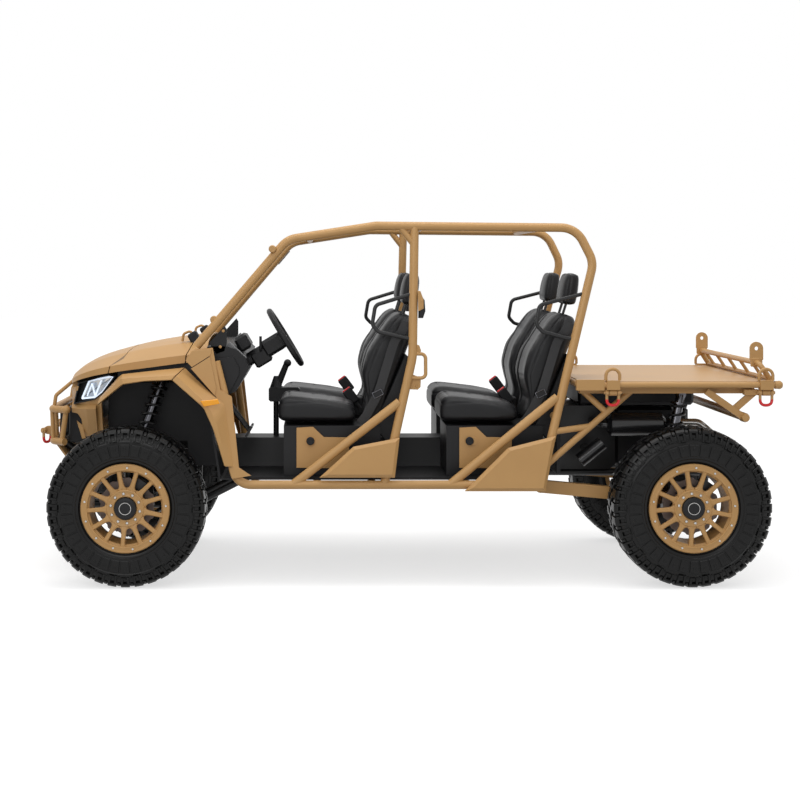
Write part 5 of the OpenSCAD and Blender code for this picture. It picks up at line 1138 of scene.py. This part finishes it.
# %% Cargo end details
bulkhead = block((24, 1120, 390), 4, (804, 0, 742))
air_box = [block((620, 440, 104), 14, (1270, 0, 924)), block((400, 360, 324), 20, (1360, 0, 700))]
put("air_box", joined([bulkhead] + air_box), black_mould, 30)
flat_bar = np.array([(-9, -17), (9, -17), (9, 17), (-9, 17)]) * MM
strut = joined([sweep(np.array([(1792, -664, 984), (1684, -664, 890)]) * MM, flat_bar),
                sweep(np.array([(1540, -672, 980), (1722, -672, 853)]) * MM, flat_bar)])
rack = [rod([(1864, -655, 1044), (1812, -655, 1122), (1812, 655, 1122), (1864, 655, 1044)], 14, 50, UPRIGHT),
        rod([(1864, -668, 1044), (1864, 668, 1044)], 12, 0, UPRIGHT)]
rack += [rod([(1864, y, 1044), (1812, y, 1122)], 9) for y in (-510, -255, 0, 255, 510)]
put("rack", joined(rack), tan_coat, 35, ["rear_rack"])
saddle = block((60, 16, 46), 4, (1812, -600, 1124))
ball = turned([(0.05, -20), (14, -16), (20, -6), (22, 2), (20, 10), (13, 18), (0.05, 22)], 20)
rail_ball = ball.moved((1898 * MM, -700 * MM, 1015 * MM), axes((1, 0, 0)))
boss = studs([(1733, 848)], 640, 24, 62)
beam_end = block((76, 44, 28), 2, (1766, -668, 976))
deck_details = joined([strut, beam_end, saddle, rail_ball, boss])
put("deck_details", both(deck_details), tan_coat, 30)

# %% [markdown]
# The bumper is two bent tubes, the upper one with round ends, held by thin uprights, with a guard rod up
# to the hood, a tow eye and a sloping skid plate. A corner panel carries the nose down to the bumper: at
# each length it runs from a ledge under the lamp to a lower edge, and it leans in towards the bottom. A
# black radiator fills the nose behind the bumper.

# %% Bumper and shackles
def bumper_bar(corner, face, z):
    """A level tube across the nose whose ends bend back."""
    return rod([(corner, -396, z), (face, -338, z), (face, 338, z), (corner, 396, z)], 19, 60, UPRIGHT, 20)


bar_end = ball.moved((-1752 * MM, -396 * MM, 862 * MM), 1.1 * axes((0.6, -0.8, 0)))
uprights = [rod([(-1834, -332, 862), (-1828, -332, 698)], 11),
            rod([(-1751, -392, 856), (-1774, -380, 698)], 14),
            rod([(-1833, -205, 862), (-1828, -205, 698)], 11)]
guard = rod([(-1828, -300, 868), (-1819, -300, 931), (-1729, -300, 1006)], 10, 30)
tow_eye = side_plate([(-1824, 716), (-1880, 716), (-1895, 724), (-1900, 738), (-1895, 752), (-1880, 760),
                      (-1824, 760)], 192, 26, 3)
skid = sweep(np.array([(-1824, 0, 690), (-1747, 0, 585), (-1725, 0, 380)]) * MM,
             np.array([(-300, -5), (300, -5), (300, 5), (-300, 5)]) * MM, (1, 0, 0.3))
side_pieces = both(joined([bar_end, guard, tow_eye] + uprights))
bumper = joined([bumper_bar(-1752, -1833, 862), bumper_bar(-1758, -1828, 694), skid, side_pieces])
put("bumper", bumper, tan_coat, 35, ["front_bumper"])

LEDGE_Z = 872
corner_x = np.linspace(-1722, -1584, 47)
corner_low = np.interp(corner_x, [-1722, -1693, -1680, -1668, -1662, -1618, -1584],
                       [848, 846, 840, 815, 716, 726, 745])
corner_half = np.interp(corner_x, [-1722, -1690, -1635, -1584], [392, 428, 466, 480])
down = np.concatenate([[-30, -12], np.linspace(0, 1, 8)])
z = LEDGE_Z + np.where(down < 0, -down, (corner_low[:, None] - LEDGE_Z) * np.clip(down, 0, 1))
y = corner_half[:, None] - 0.62 * np.maximum(LEDGE_Z - z, 0) - 0.9 * np.maximum(z - LEDGE_Z, 0)
skin = np.stack([corner_x[:, None] + 0 * z, -y, z], -1)
corner = loft(np.concatenate([skin, (skin + (0, 9, 0))[:, ::-1]], 1) * MM)
horn = side_plate([(-1697, 804), (-1664, 780), (-1650, 712), (-1668, 708)], 372, 10)
post = side_plate([(-1719, 1010), (-1694, 1012), (-1684, 980), (-1722, 976)], 368, 10)
put("nose_corners", both(joined([corner, horn, post])), tan_panel, 30)
radiator = [block((150, 600, 190), 8, (-1676, 0, 775)), block((66, 430, 138), 20, (-1780, 0, 778))]
put("radiator", joined(radiator), black_mould, 30)

bow = rod([(-30, 0, 0), (-30, 0, -64), (30, 0, -64), (30, 0, 0)], 7.5, 29)
ears_and_pin = [turned([(0.05, -a), (r, -a), (r, a), (0.05, a)], 20).moved((x * MM, 0, 0), axes((1, 0, 0)))
                for x, r, a in ((-30, 15, 7.5), (30, 15, 7.5), (0, 8, 45))]
shackle = joined([bow] + ears_and_pin)
yaw = math.radians(62)
tow_turn = np.array([[math.cos(yaw), -math.sin(yaw), 0], [math.sin(yaw), math.cos(yaw), 0], [0, 0, 1]])
hung = [shackle.moved((x * MM, -0.700, 0.976)) for x in (1059.5, 1834)]
hung.append(shackle.moved((-1.881, -0.205, 0.738), tow_turn))
put("hung_shackles", both(joined(hung)), shackle_coat, 35, ["shackles"])
